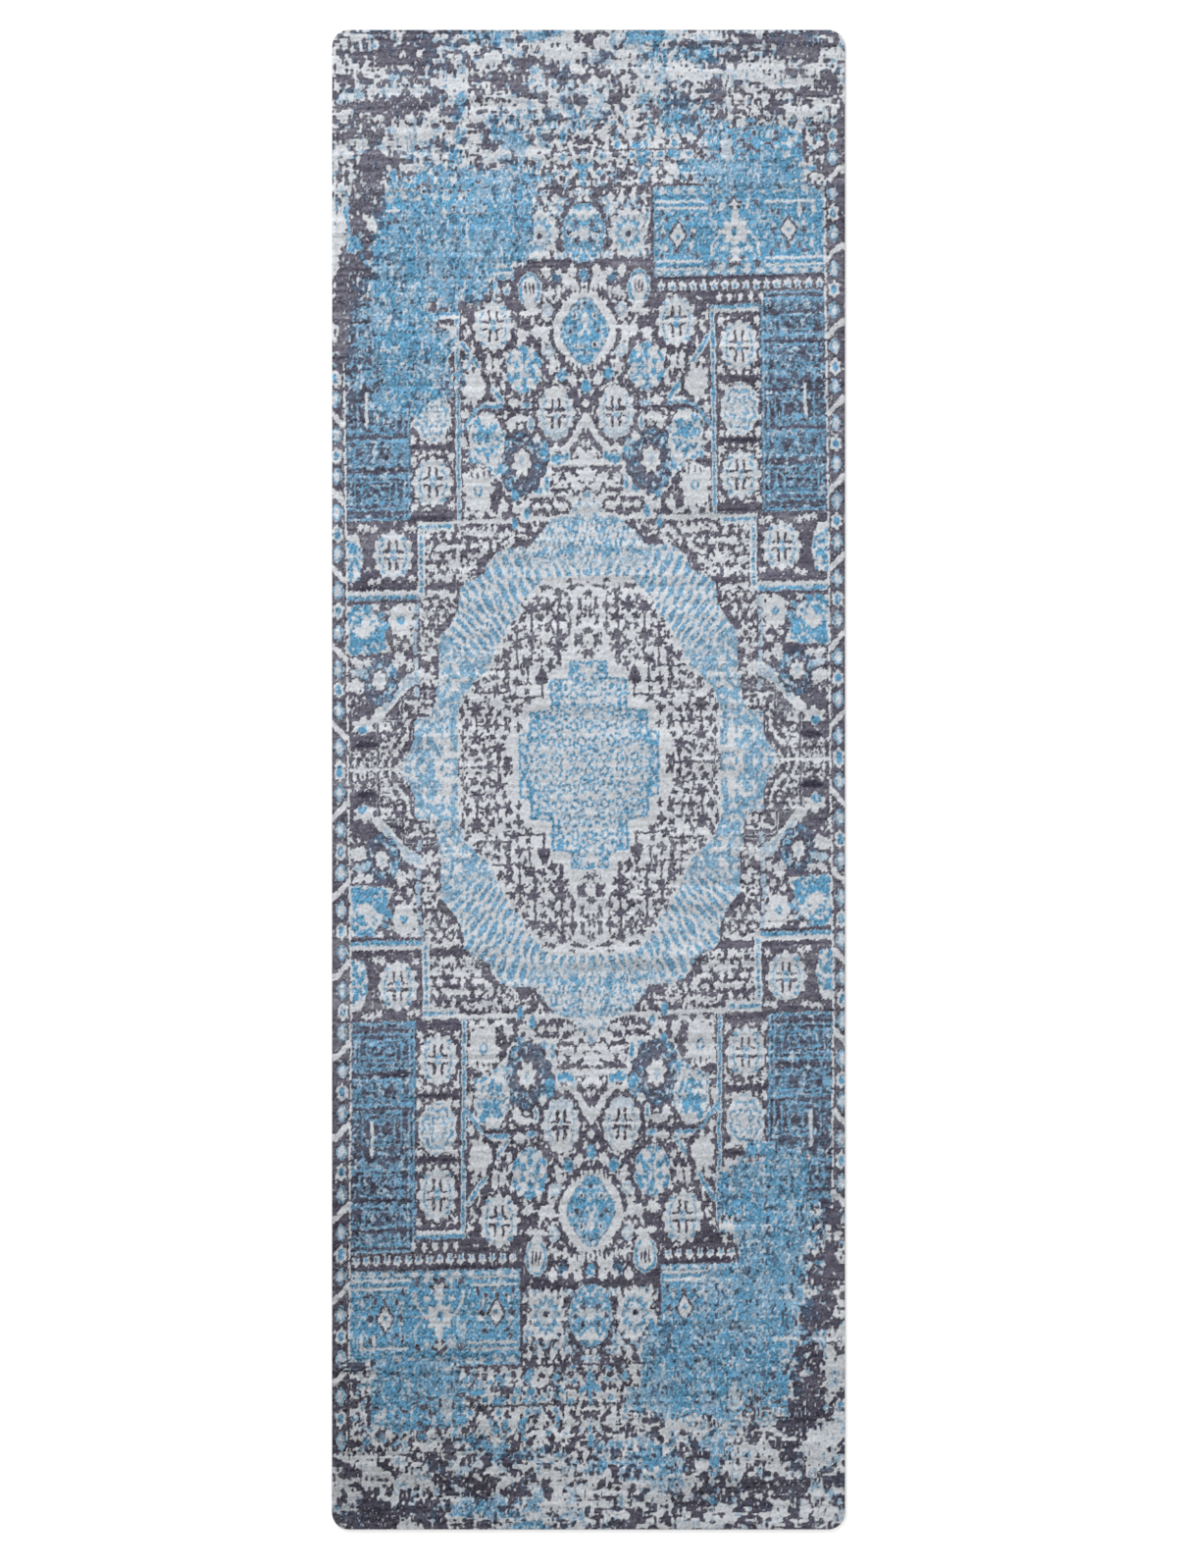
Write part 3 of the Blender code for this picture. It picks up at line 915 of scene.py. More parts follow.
straight = top_half_length - top_radius
side_rows = np.linspace(-straight, straight, round(2 * straight / TUFT) + 1)
quarter_turn = np.linspace(0, math.pi / 2, CORNER_ROWS + 1)[1:]
corner_rows = straight + top_radius * np.sin(quarter_turn)
row_y = np.concatenate([-corner_rows[::-1], side_rows, corner_rows])
past = np.clip(np.abs(row_y) - straight, 0, top_radius)
row_half = top_half_width - top_radius + np.sqrt(top_radius**2 - past**2)
column_share = np.linspace(-1, 1, round(2 * top_half_width / TUFT) + 1)

tuft_x = row_half[:, None] * column_share[None, :]
tuft_y = row_y[:, None] + np.zeros_like(tuft_x)
print(f"{tuft_x.shape[0]} rows of {tuft_x.shape[1]} tufts")

# %% Look up the chart
AXIS_Y = [-600, -250, 0, 300, 540, 740]
AXIS_X = [2.5, 4.5, 1.0, -1.5, -4.5, -7.0]
ROW_LEAN = 0.025
MIDDLE_Y = 18
ROW_STRETCH = 10.5

axis = np.interp(tuft_y, AXIS_Y, AXIS_X)
from_middle = tuft_y - ROW_LEAN * tuft_x - MIDDLE_Y
upper = from_middle >= 0
stretch = ROW_STRETCH * (from_middle / 620) ** 2
reach_out = np.where(upper, from_middle + stretch, -from_middle - stretch)
half_x = np.where(upper, tuft_x - axis, axis - tuft_x)


def here(lump_x, lump_y, seed, smooth=True):
    """A random field over the tufts."""
    return cloud(tuft_x, tuft_y, lump_x, lump_y, seed, smooth)


slip_u = 1.4 * here(2.2, 3.2, 51, False) + 1.8 * here(5, 7, 52)
slip_d = 2.4 * here(2.0, 3.4, 53, False) + 2.0 * here(6, 7, 54)
look_u = np.clip(np.abs(half_x + slip_u), 0, HALF_WIDTH - 1.01)
look_d = np.clip(np.abs(reach_out + slip_d), 0, HALF_LENGTH - 1.01)
row, col = look_d.astype(int), look_u.astype(int)
part_d, part_u = (look_d - row)[..., None], (look_u - col)[..., None]
nearer = chart[row, col] * (1 - part_u) + chart[row, col + 1] * part_u
farther = chart[row + 1, col] * (1 - part_u) + chart[row + 1, col + 1] * part_u
dye = nearer * (1 - part_d) + farther * part_d
charcoal, blue = dye[..., 0], dye[..., 1]
print(f"printed: {np.mean(charcoal > 0.5) * 100:.0f}% dark tufts")

# %% [markdown]
# ## The worn ends
# The print looks rubbed away at both ends and in one corner of each half, where washes of blue
# and patches of charcoal and cream break up the design. Those places are listed: where
# each one lies, how far it reaches, and how much charcoal and blue it adds or takes. Narrow
# streaks along the rug then decide tuft by tuft which colour is left.

# %% Places where the print is worn
# across from the axis, out from the middle, half width, half length, charcoal, blue
CHARCOAL_PATCHES = [
    (-235, 885, 75, 20, 0.6, 0.0), (-180, 872, 35, 25, 0.45, 0.1), (-230, 806, 90, 6, 0.6, 0.0),
    (-215, 822, 40, 22, 0.4, 0.0), (-292, 786, 20, 25, 0.5, 0.0), (-236, 765, 18, 38, 0.5, 0.0),
    (-240, 733, 32, 16, 0.5, 0.0), (-258, 690, 22, 48, 1.15, -0.1), (-278, 590, 22, 40, 1.15, -0.1),
    (-290, 530, 13, 48, 1.0, 0.0), (-252, 620, 14, 30, 0.9, 0.0), (-85, 826, 22, 15, 0.4, 0.0),
    (-40, 845, 38, 15, 0.35, 0.0), (-170, 700, 70, 12, 0.4, 0.1), (205, 866, 45, 18, 0.6, 0.0),
    (265, 866, 28, 18, 0.8, 0.0), (230, 806, 45, 9, 0.35, 0.0), (180, 803, 34, 9, 0.35, 0.0),
    (132, 834, 16, 16, 0.5, 0.0), (104, 804, 20, 14, 0.3, 0.2), (240, 722, 24, 26, 0.6, 0.0),
    (270, 690, 30, 14, 0.5, 0.1), (292, 812, 14, 14, 0.6, 0.0), (45, 716, 25, 12, 0.5, 0.1),
    (122, 718, 34, 16, 0.4, 0.2), (298, 740, 8, 60, 0.5, 0.0), (285, 880, 26, 16, 0.5, 0.0),
]
BARE_PATCHES = [
    (-293, 655, 14, 62, -0.7, -0.1), (-282, 748, 20, 24, -0.6, 0.0), (-282, 842, 20, 24, -0.4, 0.0),
    (-205, 748, 14, 36, -0.4, 0.0), (-165, 750, 25, 34, -0.2, 0.1), (-160, 850, 26, 26, -0.3, 0.0),
    (-105, 866, 50, 16, -0.3, 0.05), (-90, 796, 40, 14, -0.2, 0.1), (35, 843, 50, 28, -0.3, 0.05),
    (190, 882, 34, 16, -0.35, 0.0), (190, 784, 54, 18, -0.3, 0.0), (290, 865, 20, 34, -0.5, 0.0),
    (272, 765, 18, 50, -0.6, 0.0), (238, 826, 45, 12, -0.4, 0.0), (150, 860, 20, 24, -0.3, 0.1),
    (-298, 565, 9, 60, -0.8, -0.2),
]
BLUE_WASHES = [
    (-146, 802, 6, 45, 0.0, 0.5), (-115, 884, 22, 12, 0.0, 0.6), (-48, 890, 22, 9, 0.0, 0.5),
    (70, 888, 27, 13, 0.0, 0.9), (115, 860, 42, 10, 0.0, 0.7), (-80, 774, 30, 20, 0.1, 0.6),
    (-25, 770, 27, 20, 0.1, 0.6), (-155, 735, 15, 28, 0.1, 0.4), (-100, 700, 62, 26, 0.0, 0.8),
    (15, 742, 26, 40, 0.0, 0.5), (62, 790, 40, 20, 0.0, 0.3), (116, 772, 32, 30, 0.1, 0.5),
    (185, 742, 60, 28, 0.0, 0.8), (205, 705, 60, 30, 0.0, 0.9), (-110, 655, 62, 50, -0.1, 1.0),
    (-170, 625, 62, 70, 0.0, 0.9), (-218, 560, 42, 90, 0.1, 0.8), (-200, 480, 52, 52, 0.15, 0.75),
    (-222, 440, 46, 30, 0.15, 0.6), (-262, 500, 22, 50, 0.3, 0.3),
]
print(len(CHARCOAL_PATCHES), "charcoal,", len(BARE_PATCHES), "bare,", len(BLUE_WASHES), "blue places")

# %% Wear the print
WEAR_START = 706  # beyond this the whole end is worn, in mm from the middle
WORN_CHARCOAL = (0.51, 0.53)  # share of charcoal left, in the upper and the lower half
WORN_BLUE = 0.16  # share of blue left away from the washes
DARK_END = 790  # from here out the ends keep a little more charcoal, in mm from the middle
PALE_CORNER = (-250, -822, 62, 20)  # a bare corner: its x and y, half width and half length
pull_in = 36 * np.clip((60 - half_x) / 60, 0, 1)
wear_out = np.where(upper | (half_x > 60), reach_out, reach_out - pull_in)

want_charcoal = np.where(upper, *WORN_CHARCOAL) + 0.4 * here(52, 40, 60) + 0.2 * here(20, 14, 59)
want_charcoal += 0.05 * np.clip((np.abs(tuft_y) - DARK_END) / 60, 0, 1)
corner_x, corner_y, corner_reach_x, corner_reach_y = PALE_CORNER
near_corner = ((tuft_x - corner_x) / corner_reach_x) ** 4 + ((tuft_y - corner_y) / corner_reach_y) ** 4
want_charcoal -= 0.3 * np.exp(-np.clip(near_corner, 0, 30))
want_blue = WORN_BLUE + 0.3 * here(34, 30, 58)
hold = np.zeros_like(tuft_x)
for u, d, ru, rd, add_charcoal, add_blue in CHARCOAL_PATCHES + BARE_PATCHES + BLUE_WASHES:
    reach = ((half_x - u) / ru) ** 4 + ((wear_out - d) / rd) ** 4
    spot = np.exp(-0.7 * np.clip(reach, 0, 30))
    want_charcoal += 0.55 * add_charcoal * spot
    want_blue += 0.95 * add_blue * spot
    if d < 720:
        hold = np.maximum(hold, spot * min(abs(add_charcoal) + abs(add_blue), 1))

ragged = here(26, 30, 61) + 0.6 * here(10, 12, 62)
wear_start = WEAR_START + 60 * np.clip((half_x + 60) / 60, 0, 1)
end_wear = np.clip((wear_out - wear_start - 45 * ragged) / 25, 0, 1)
side_wear = np.clip((hold - 0.45 + 0.5 * ragged) / 0.18, 0, 1)
side_wear *= (half_x < -60) | (wear_out > 690)
worn = np.maximum(end_wear, side_wear)
rubbed = np.clip((worn - 1.1 * here(2.4, 6, 70) - 0.5) / 0.2, 0, 1)
print(f"worn: {np.mean(rubbed > 0.5) * 100:.0f}% of the rug")

# %% Streaks that choose the colours left
streaks = 0.6 * here(3.4, 6, 63) + 0.35 * here(14, 2.6, 64)
dark_streak = ranked(streaks + 0.6 * here(9, 7, 65) + 0.35 * here(24, 16, 75))
streaks = 0.6 * here(3.4, 6, 66) + 0.3 * here(12, 2.8, 67)
blue_streak = ranked(streaks + 0.6 * here(10, 9, 68) + 0.3 * here(26, 18, 76))
wash = np.clip((want_blue - 0.3) / 0.3, 0, 1)
worn_charcoal = cut(want_charcoal * (1 - 0.93 * np.clip(want_blue, 0, 1)), dark_streak, 0.2)
worn_blue = cut(want_blue, blue_streak, 0.2) * (0.62 + 0.3 * wash + 0.4 * here(10, 16, 69))
pale_fleck = ranked(here(2.3, 5, 71) + 0.6 * here(4, 12, 72))
dark_fleck = ranked(here(2.4, 4, 73) + 0.7 * here(6, 14, 74))
worn_blue *= 0.3 + 0.7 * cut(pale_fleck, 0.06, 0.06)
worn_charcoal = np.maximum(worn_charcoal, wash * cut(dark_fleck, 0.92, 0.08) * 0.8)
charcoal = charcoal * (1 - rubbed) + worn_charcoal * rubbed
blue = blue * (1 - rubbed) + worn_blue * rubbed

# a crisp edge to every figure, and a few odd tufts
odd = here(1.8, 2.3, 81, False) + 0.5 * here(2.6, 5, 82)
step = 0.35 + 0.3 * rubbed
crisp = np.clip((charcoal - 0.5 + 0.2 * odd) / step + 0.5, 0, 1)
charcoal = np.where(charcoal <= 1, crisp, charcoal)
fleck = ranked(here(2.2, 3.2, 83) + 0.35 * here(6, 9, 84))
blue *= np.where(charcoal < 0.4, 0.3 + 0.7 * cut(fleck, 0.16, 0.12), 1.0)
charcoal *= np.where((fleck > 0.965) & (charcoal < 1.1), 0.3, 1.0)
# the darks grow darker towards the near end and in streaks across the rug
near_end = np.clip((-tuft_y - 250) / 500, 0, 1)
brushed = here(34, 2.6, 85) + 0.7 * here(7, 2.2, 86) + 0.7 * here(50, 40, 87)
charcoal += cut(charcoal, 0.75, 0.3) * (0.14 * near_end + 0.2 * brushed)
charcoal = np.clip(charcoal, 0, 1.3)
print(f"left: {np.mean(charcoal > 0.5) * 100:.0f}% charcoal, {np.mean(blue > 0.5) * 100:.0f}% blue")

# %% [markdown]
# ## Relief of the pile
# From above a short pile is a crowd of tuft tips. Their heights differ by a few tenths of a
# millimetre. The pile dips where two colours meet, because the tufts lean apart there, and it
# rolls over at the cut edge. This is real geometry, so it also shows from the side. The tone of
# the tufts also holds painted shade: lower tips and the dips are darkened in their colour.

# %% Heights, tone and painted shade of the tufts
TUFT_HEIGHT = 0.42  # difference between high and low tips, in mm
SEAM_DIP = 0.22
SHOULDER_WIDTH = 3.0
SHOULDER_DROP = 0.75
TIP_DEPTH = 0.35  # how far a mean tip lies below the top of the CAD pile, in mm
HIGHEST_TIP = 0.3  # the most that a tip stands above the mean, in mm

pile_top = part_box("pile_face")[1].z * 1000
inset_x = top_half_width - np.abs(tuft_x)
inset_y = top_half_length - np.abs(tuft_y)
to_centre_x = np.clip(np.abs(tuft_x) - (top_half_width - top_radius), 0, None)
to_centre_y = np.clip(np.abs(tuft_y) - straight, 0, None)
inset_corner = top_radius - np.hypot(to_centre_x, to_centre_y)
in_corner = (to_centre_x > 0) & (to_centre_y > 0)
inset = np.where(in_corner, inset_corner, np.minimum(inset_x, inset_y))

steps = np.abs(np.gradient(np.clip(charcoal, 0, 1) + 0.4 * blue, axis=0))
steps += np.abs(np.gradient(np.clip(charcoal, 0, 1) + 0.4 * blue, axis=1))
dip = np.clip(steps * 1.4, 0, 1)
curl_x = tuft_x + 2.4 * here(3.1, 3.1, 97)
curl_y = tuft_y + 2.4 * here(3.1, 3.1, 98)
tips = cloud(curl_x, curl_y, 2.2, 1.6, 90) + 0.6 * here(1.2, 1.2, 91, False)
shoulder = SHOULDER_DROP * np.clip(1 - inset / SHOULDER_WIDTH, 0, 1) ** 2
relief = TUFT_HEIGHT * tips - SEAM_DIP * dip + 0.2 * here(60, 45, 92) - shoulder
tuft_z = pile_top - TIP_DEPTH + np.minimum(relief, HIGHEST_TIP)


def softened(field, reach):
    """The mean of a field over a small square of tufts."""
    for side in (0, 1):
        field = sum(np.roll(field, step, side) for step in range(-reach, reach + 1))
        field = field / (2 * reach + 1)
    return field


lightness = 1 - 0.75 * np.clip(charcoal, 0, 1) - 0.35 * blue * (1 - np.clip(charcoal, 0, 1))
stand_out = lightness - softened(lightness, 2)
bands = here(90, 3.2, 93) + 0.6 * here(260, 8, 94)
knots = cloud(curl_x, curl_y, 2.0, 1.5, 95, False)
lively = 0.42 + 0.63 * np.clip(charcoal + blue, 0, 1)
# painted shade: the tone follows the tip heights, so lower tips are darker in colour
tone = 0.6 * bands + (1.25 * knots + 1.15 * tips) * lively
# the tone grows darker towards the near end, most on its left side; painted shade darkens the dips
# where two colours meet
near_left = near_end * np.clip(-tuft_x / 300, 0, 1)
tone += 0.65 * stand_out - 0.25 * dip - 0.2 * near_end - 0.33 * near_left
print(f"pile top from {tuft_z.min():.2f} to {tuft_z.max():.2f} mm")

# %% [markdown]
# ## Cutting the pile into strips
# One mesh of every tuft would be too heavy to handle, so the pile is made as a row of strips
# across the rug that share their border rows exactly, and look like one sheet. Each strip starts
# as a grid on whole numbers. Its outer edges are extruded down three times, and only then is
# every point moved from its row and column to its real place.

# %% Make one strip
STRIPS = 9
PILE_FOOT = 4.45  # the tufts stand on the ground cloth, in mm
WALL = [(0.62, 0.62), (0.94, 0.3), (1.0, 0.0)]  # share of the way out, share of the wall's height


def mesh_arrays(mesh):
    """The points of a mesh as an array."""
    points = np.empty(len(mesh.vertices) * 3)
    mesh.vertices.foreach_get("co", points)
    return points.reshape(-1, 3)


def move_points(mesh, x, y, z):
    """Puts the points of a mesh at places in mm."""
    mesh.vertices.foreach_set("co", (np.stack([x, y, z], 1) / 1000).ravel())


def edge_direction(x, y):
    """The way out of the rug at a point near its edge."""
    corner_x = np.clip(np.abs(x) - (top_half_width - top_radius), 0, None)
    corner_y = np.clip(np.abs(y) - straight, 0, None)
    at_side = (top_half_width - np.abs(x)) < (top_half_length - np.abs(y))
    out_x = np.where((corner_x > 0) & (corner_y > 0), corner_x, np.where(at_side, 1.0, 0.0))
    out_y = np.where((corner_x > 0) & (corner_y > 0), corner_y, np.where(at_side, 0.0, 1.0))
    size = np.hypot(out_x, out_y)
    return np.sign(x) * out_x / size, np.sign(y) * out_y / size


def pile_strip(name, first, last):
    """The pile from one row of tufts to another, with a rolled wall at the rug's edge."""
    columns = len(column_share) - 1
    bpy.ops.object.select_all(action="DESELECT")
    bpy.ops.mesh.primitive_grid_add(x_subdivisions=columns, y_subdivisions=last - first, size=2)
    strip = bpy.context.object
    strip.name = name
    strip.data.name = name
    bpy.ops.object.mode_set(mode="EDIT")
    bpy.ops.mesh.select_all(action="SELECT")
    bpy.ops.transform.resize(value=(columns / 2, (last - first) / 2, 1))
    bpy.ops.mesh.select_all(action="DESELECT")
    bpy.ops.mesh.select_mode(type="EDGE")
    cuts = [y for y, row in ((-1, first), (1, last)) if 0 < row < len(row_y) - 1]
    bm = bmesh.from_edit_mesh(strip.data)
    half = (last - first) / 2
    for edge in bm.edges:
        a, b = edge.verts
        on_cut = any(abs(a.co.y - y * half) < 0.1 and abs(b.co.y - y * half) < 0.1 for y in cuts)
        edge.select = edge.is_boundary and not on_cut
    bm.select_flush_mode()
    bmesh.update_edit_mesh(strip.data)
    for level in WALL:
        bpy.ops.mesh.extrude_region_move(TRANSFORM_OT_translate={"value": (0, 0, -1)})
    bpy.ops.object.mode_set(mode="OBJECT")
    place_tufts(strip, first, columns, half)
    return strip


def place_tufts(strip, first, columns, half):
    """Moves a strip's points from rows and columns to their places, and dyes them, with painted shade
    on the rolled edge.
    """
    lattice = mesh_arrays(strip.data)
    col = np.rint(lattice[:, 0] + columns / 2).astype(int)
    row = np.rint(lattice[:, 1] + half).astype(int) + first
    level = np.rint(-lattice[:, 2]).astype(int)
    x = tuft_x[row, col]
    y = tuft_y[row, col]
    z = tuft_z[row, col]
    out_x, out_y = edge_direction(x, y)
    share_out = np.array([0.0] + [w[0] for w in WALL])[level]
    share_up = np.array([1.0] + [w[1] for w in WALL])[level]
    ragged_edge = 0.35 * cloud(x, y, 1.3, 1.3, 96, False) * (level > 0) * (level < 3)
    x = x + out_x * (EDGE_ROLL * share_out + ragged_edge)
    y = y + out_y * (EDGE_ROLL * share_out + ragged_edge)
    z = PILE_FOOT + (z - PILE_FOOT) * share_up
    move_points(strip.data, x, y, z)
    for name, field in (("charcoal", charcoal), ("blue", blue), ("tone", tone)):
        values = field[row, col]
        # painted shade: each level down the rolled edge is darker in tone
        if name == "tone":
            values = values - 0.5 * level
        layer = strip.data.attributes.new(name, "FLOAT", "POINT")
        layer.data.foreach_set("value", values.astype(np.float32))
    strip.data.shade_smooth()
    strip.data.update()


# %% Make all strips
cut_rows = np.rint(np.linspace(0, len(row_y) - 1, STRIPS + 1)).astype(int)
strips = []
for number, (first, last) in enumerate(zip(cut_rows, cut_rows[1:]), start=1):
    strip = pile_strip(f"pile_strip_{number}", int(first), int(last))
    strips.append(strip)
    faces = len(strip.data.polygons)
    print(f"{strip.name}: {2 * faces} triangles")

# %% [markdown]
# ## Finishes: small helpers and shared effects
# A finish is a tree of nodes. Two helpers keep the cells short: one adds a node with its
# settings, the other turns a given colour into the linear light that Blender works in.

# %% Node helpers
def linear(red, green, blue):
    """A colour given from 0 to 255, in linear light."""
    parts = []
    for value in (red, green, blue):
        share = value / 255
        parts.append(share / 12.92 if share <= 0.04045 else ((share + 0.055) / 1.055) ** 2.4)
    return (*parts, 1.0)


def node(tree, kind, inputs=None, **settings):
    """Adds a node; an input is a plain value, or another node's output to link."""
    made = tree.nodes.new(kind)
    for key, value in settings.items():
        setattr(made, key, value)
    for key, value in (inputs or {}).items():
        if isinstance(value, bpy.types.NodeSocket):
            tree.links.new(value, made.inputs[key])
        else:
            made.inputs[key].default_value = value
    return made


def maths(tree, operation, a, b=0.0, clamp=False):
    """The result of one sum on values or outputs."""
    made = node(tree, "ShaderNodeMath", {0: a, 1: b}, operation=operation, use_clamp=clamp)
    return made.outputs[0]


def blend_colour(tree, share, a, b, kind="MIX"):
    """Two colours mixed by a share."""
    made = node(tree, "ShaderNodeMix", {0: share, 6: a, 7: b}, data_type="RGBA", blend_type=kind)
    return made.outputs[2]


def new_effect(name, inputs, outputs):
    """An empty node group with named sockets."""
    group = bpy.data.node_groups.new(name, "ShaderNodeTree")
    for label, kind, value in inputs:
        socket = group.interface.new_socket(label, in_out="INPUT", socket_type="NodeSocket" + kind)
        if value is not None:
            socket.default_value = value
    for label, kind in outputs:
        group.interface.new_socket(label, in_out="OUTPUT", socket_type="NodeSocket" + kind)
    entry = group.nodes.new("NodeGroupInput")
    ending = group.nodes.new("NodeGroupOutput")
    return group, entry.outputs, ending.inputs


def new_finish(name, roughness, **constants):
    """A material with its Principled shader; constants go on the shader's own sockets."""
    finish = bpy.data.materials.new(name)
    finish.use_nodes = True
    shader = finish.node_tree.nodes["Principled BSDF"]
    shader.inputs["Roughness"].default_value = roughness
    for label, value in constants.items():
        shader.inputs[label.replace("_", " ")].default_value = value
    return finish, finish.node_tree, shader


def raise_surface(tree, shader, height, strength, distance):
    """Bump on a finish, from a height."""
    made = node(tree, "ShaderNodeBump", {"Height": height, "Strength": strength,
                                         "Distance": distance})
    tree.links.new(made.outputs[0], shader.inputs["Normal"])


print("node helpers ready")

# %% [markdown]
# Pile, felt and cloth are all made of fibres, so they share one effect. It stretches a noise along
# one direction for the strands, adds a finer one for the single hairs, and gives a shade for the
# colour and a height for the bump.

# %% Effect: fibre grain
fibre_grain, given, result = new_effect(
    "fibre_grain",
    [("Vector", "Vector", None), ("Strands", "Float", 700.0), ("Hairs", "Float", 2600.0),
     ("Stretch", "Vector", (1.0, 1.0, 1.0))],
    [("Shade", "Float"), ("Height", "Float")],
)
stretched = node(fibre_grain, "ShaderNodeVectorMath", {0: given["Vector"], 1: given["Stretch"]},
                 operation="MULTIPLY").outputs[0]
strands = node(fibre_grain, "ShaderNodeTexNoise",
               {"Vector": stretched, "Scale": given["Strands"], "Detail": 3.0, "Roughness": 0.6,
                "Distortion": 0.8})
hairs = node(fibre_grain, "ShaderNodeTexNoise",
             {"Vector": given["Vector"], "Scale": given["Hairs"], "Detail": 2.0, "Roughness": 0.7})
mixed = maths(fibre_grain, "ADD", maths(fibre_grain, "MULTIPLY", strands.outputs[0], 0.7),
              maths(fibre_grain, "MULTIPLY", hairs.outputs[0], 0.3))
fibre_grain.links.new(mixed, result["Height"])
contrast = node(fibre_grain, "ShaderNodeMapRange", {0: mixed, 1: 0.3, 2: 0.7}).outputs[0]
fibre_grain.links.new(contrast, result["Shade"])


def with_grain(tree, place, strands, hairs, stretch):
    """The fibre grain placed in a finish with its own values."""
    grain = node(tree, "ShaderNodeGroup", node_tree=fibre_grain)
    tree.links.new(place, grain.inputs["Vector"])
    grain.inputs["Strands"].default_value = strands
    grain.inputs["Hairs"].default_value = hairs
    grain.inputs["Stretch"].default_value = stretch
    return grain.outputs


print("effect:", fibre_grain.name)

# %% [markdown]
# ## Finish of the pile
# The yarn colours are the print's five dyes. The shares of charcoal and blue come from the tufts
# themselves. The tone of each tuft, the fibre grain and faint bands across the rug then lighten
# and darken the dye, because a brushed pile never shows one flat colour. The tone also carries
# painted shade: lower tips, the dips where colours meet and the rolled edge are darker. It is also
# darker towards the rug's near end. Sheen gives the soft light edge that pile has when it is seen
# from low down.

# %% Yarn colours
CREAM_YARN = linear(172, 175, 179)
BLUE_YARN = linear(78, 127, 157)
CHARCOAL_YARN = linear(82, 80, 92)
SLATE_YARN = linear(62, 87, 111)
NIGHT_YARN = linear(44, 42, 56)

pile_finish, tree, shader = new_finish(
    "brushed_pile", 0.92, Sheen_Weight=0.12, Sheen_Roughness=0.45, Specular_IOR_Level=0.18)
dyes = {}
for name in ("charcoal", "blue", "tone"):
    dyes[name] = node(tree, "ShaderNodeAttribute", attribute_name=name).outputs["Fac"]
place = node(tree, "ShaderNodeTexCoord").outputs["Object"]
grain = with_grain(tree, place, 620.0, 2400.0, (1.0, 0.7, 1.0))

light_yarn = blend_colour(tree, dyes["blue"], CREAM_YARN, BLUE_YARN)
slate_share = maths(tree, "MULTIPLY", dyes["blue"], 0.75, clamp=True)
dark_yarn = blend_colour(tree, slate_share, CHARCOAL_YARN, SLATE_YARN)
charcoal_share = maths(tree, "MINIMUM", dyes["charcoal"], 1.0, clamp=True)
dyed = blend_colour(tree, charcoal_share, light_yarn, dark_yarn)
night_share = node(tree, "ShaderNodeMapRange", {0: dyes["charcoal"], 1: 1.0, 2: 1.3}).outputs[0]
dyed = blend_colour(tree, night_share, dyed, NIGHT_YARN)
print("yarn colours mixed")

# %% Tone with painted shade, roughness and bump of the pile
TONE_CONTRAST = 0.58
GRAIN_CONTRAST = 0.34

# the tone attribute holds the tufts' random tone and painted shade together
tone_part = maths(tree, "MULTIPLY", dyes["tone"], TONE_CONTRAST)
grain_part = maths(tree, "MULTIPLY", maths(tree, "SUBTRACT", grain["Shade"], 0.5),
                   GRAIN_CONTRAST)
brightness = maths(tree, "ADD", maths(tree, "ADD", tone_part, grain_part), 1.0)
brightness = maths(tree, "MAXIMUM", brightness, 0.15)
shaded = node(tree, "ShaderNodeVectorMath", {0: dyed, "Scale": brightness}, operation="SCALE")
tree.links.new(shaded.outputs[0], shader.inputs["Base Color"])
rough = node(tree, "ShaderNodeMapRange", {0: grain["Shade"], 3: 0.86, 4: 0.98})
tree.links.new(rough.outputs[0], shader.inputs["Roughness"])
raise_surface(tree, shader, grain["Height"], 0.55, 0.0006)
for strip in strips:
    strip.data.materials.append(pile_finish)
print("pile finished:", len(tree.nodes), "nodes")

# %% [markdown]
# ## The sheets under the pile
# From above only the pile shows, but the cut edge of a rug tells how it was made: the woven
# ground cloth, the felt and the rubber show as thin lines, each with its own cut. Every such
# sheet starts as a many-sided disc. It is extruded up in a few levels, and then its points are
# laid round the rug's outline, a little in or out at each level, as a cut through fibres is.

# %% Points round the outline
def rim(count, inset):
    """Evenly spaced points round the rug's outline and the way out at each, in mm."""
    radius = CORNER_RADIUS - inset
    half_w = width * 500 - inset - radius
    half_l = length * 500 - inset - radius
    arc = radius * math.pi / 2
    runs = [2 * half_l, arc, 2 * half_w, arc, 2 * half_l, arc, 2 * half_w, arc]
    at = np.linspace(0, sum(runs), count, endpoint=False)
    corners = [(half_w, half_l), (-half_w, half_l), (-half_w, -half_l), (half_w, -half_l)]
    starts = np.concatenate([[0], np.cumsum(runs)])
    x, y, angle = np.zeros(count), np.zeros(count), np.zeros(count)
    for k, run in enumerate(runs):
        here_now = (at >= starts[k]) & (at < starts[k + 1])
        along = (at[here_now] - starts[k]) / run
        corner_x, corner_y = corners[k // 2]
        if k % 2:
            turn = (k // 2 + along) * math.pi / 2
            x[here_now] = corner_x + radius * np.cos(turn)
            y[here_now] = corner_y + radius * np.sin(turn)
        else:
            turn = np.full(along.shape, (k // 2) * math.pi / 2)
            before_x, before_y = corners[k // 2 - 1]
            x[here_now] = before_x + (corner_x - before_x) * along + radius * np.cos(turn)
            y[here_now] = before_y + (corner_y - before_y) * along + radius * np.sin(turn)
        angle[here_now] = turn
    return x, y, np.cos(angle), np.sin(angle)


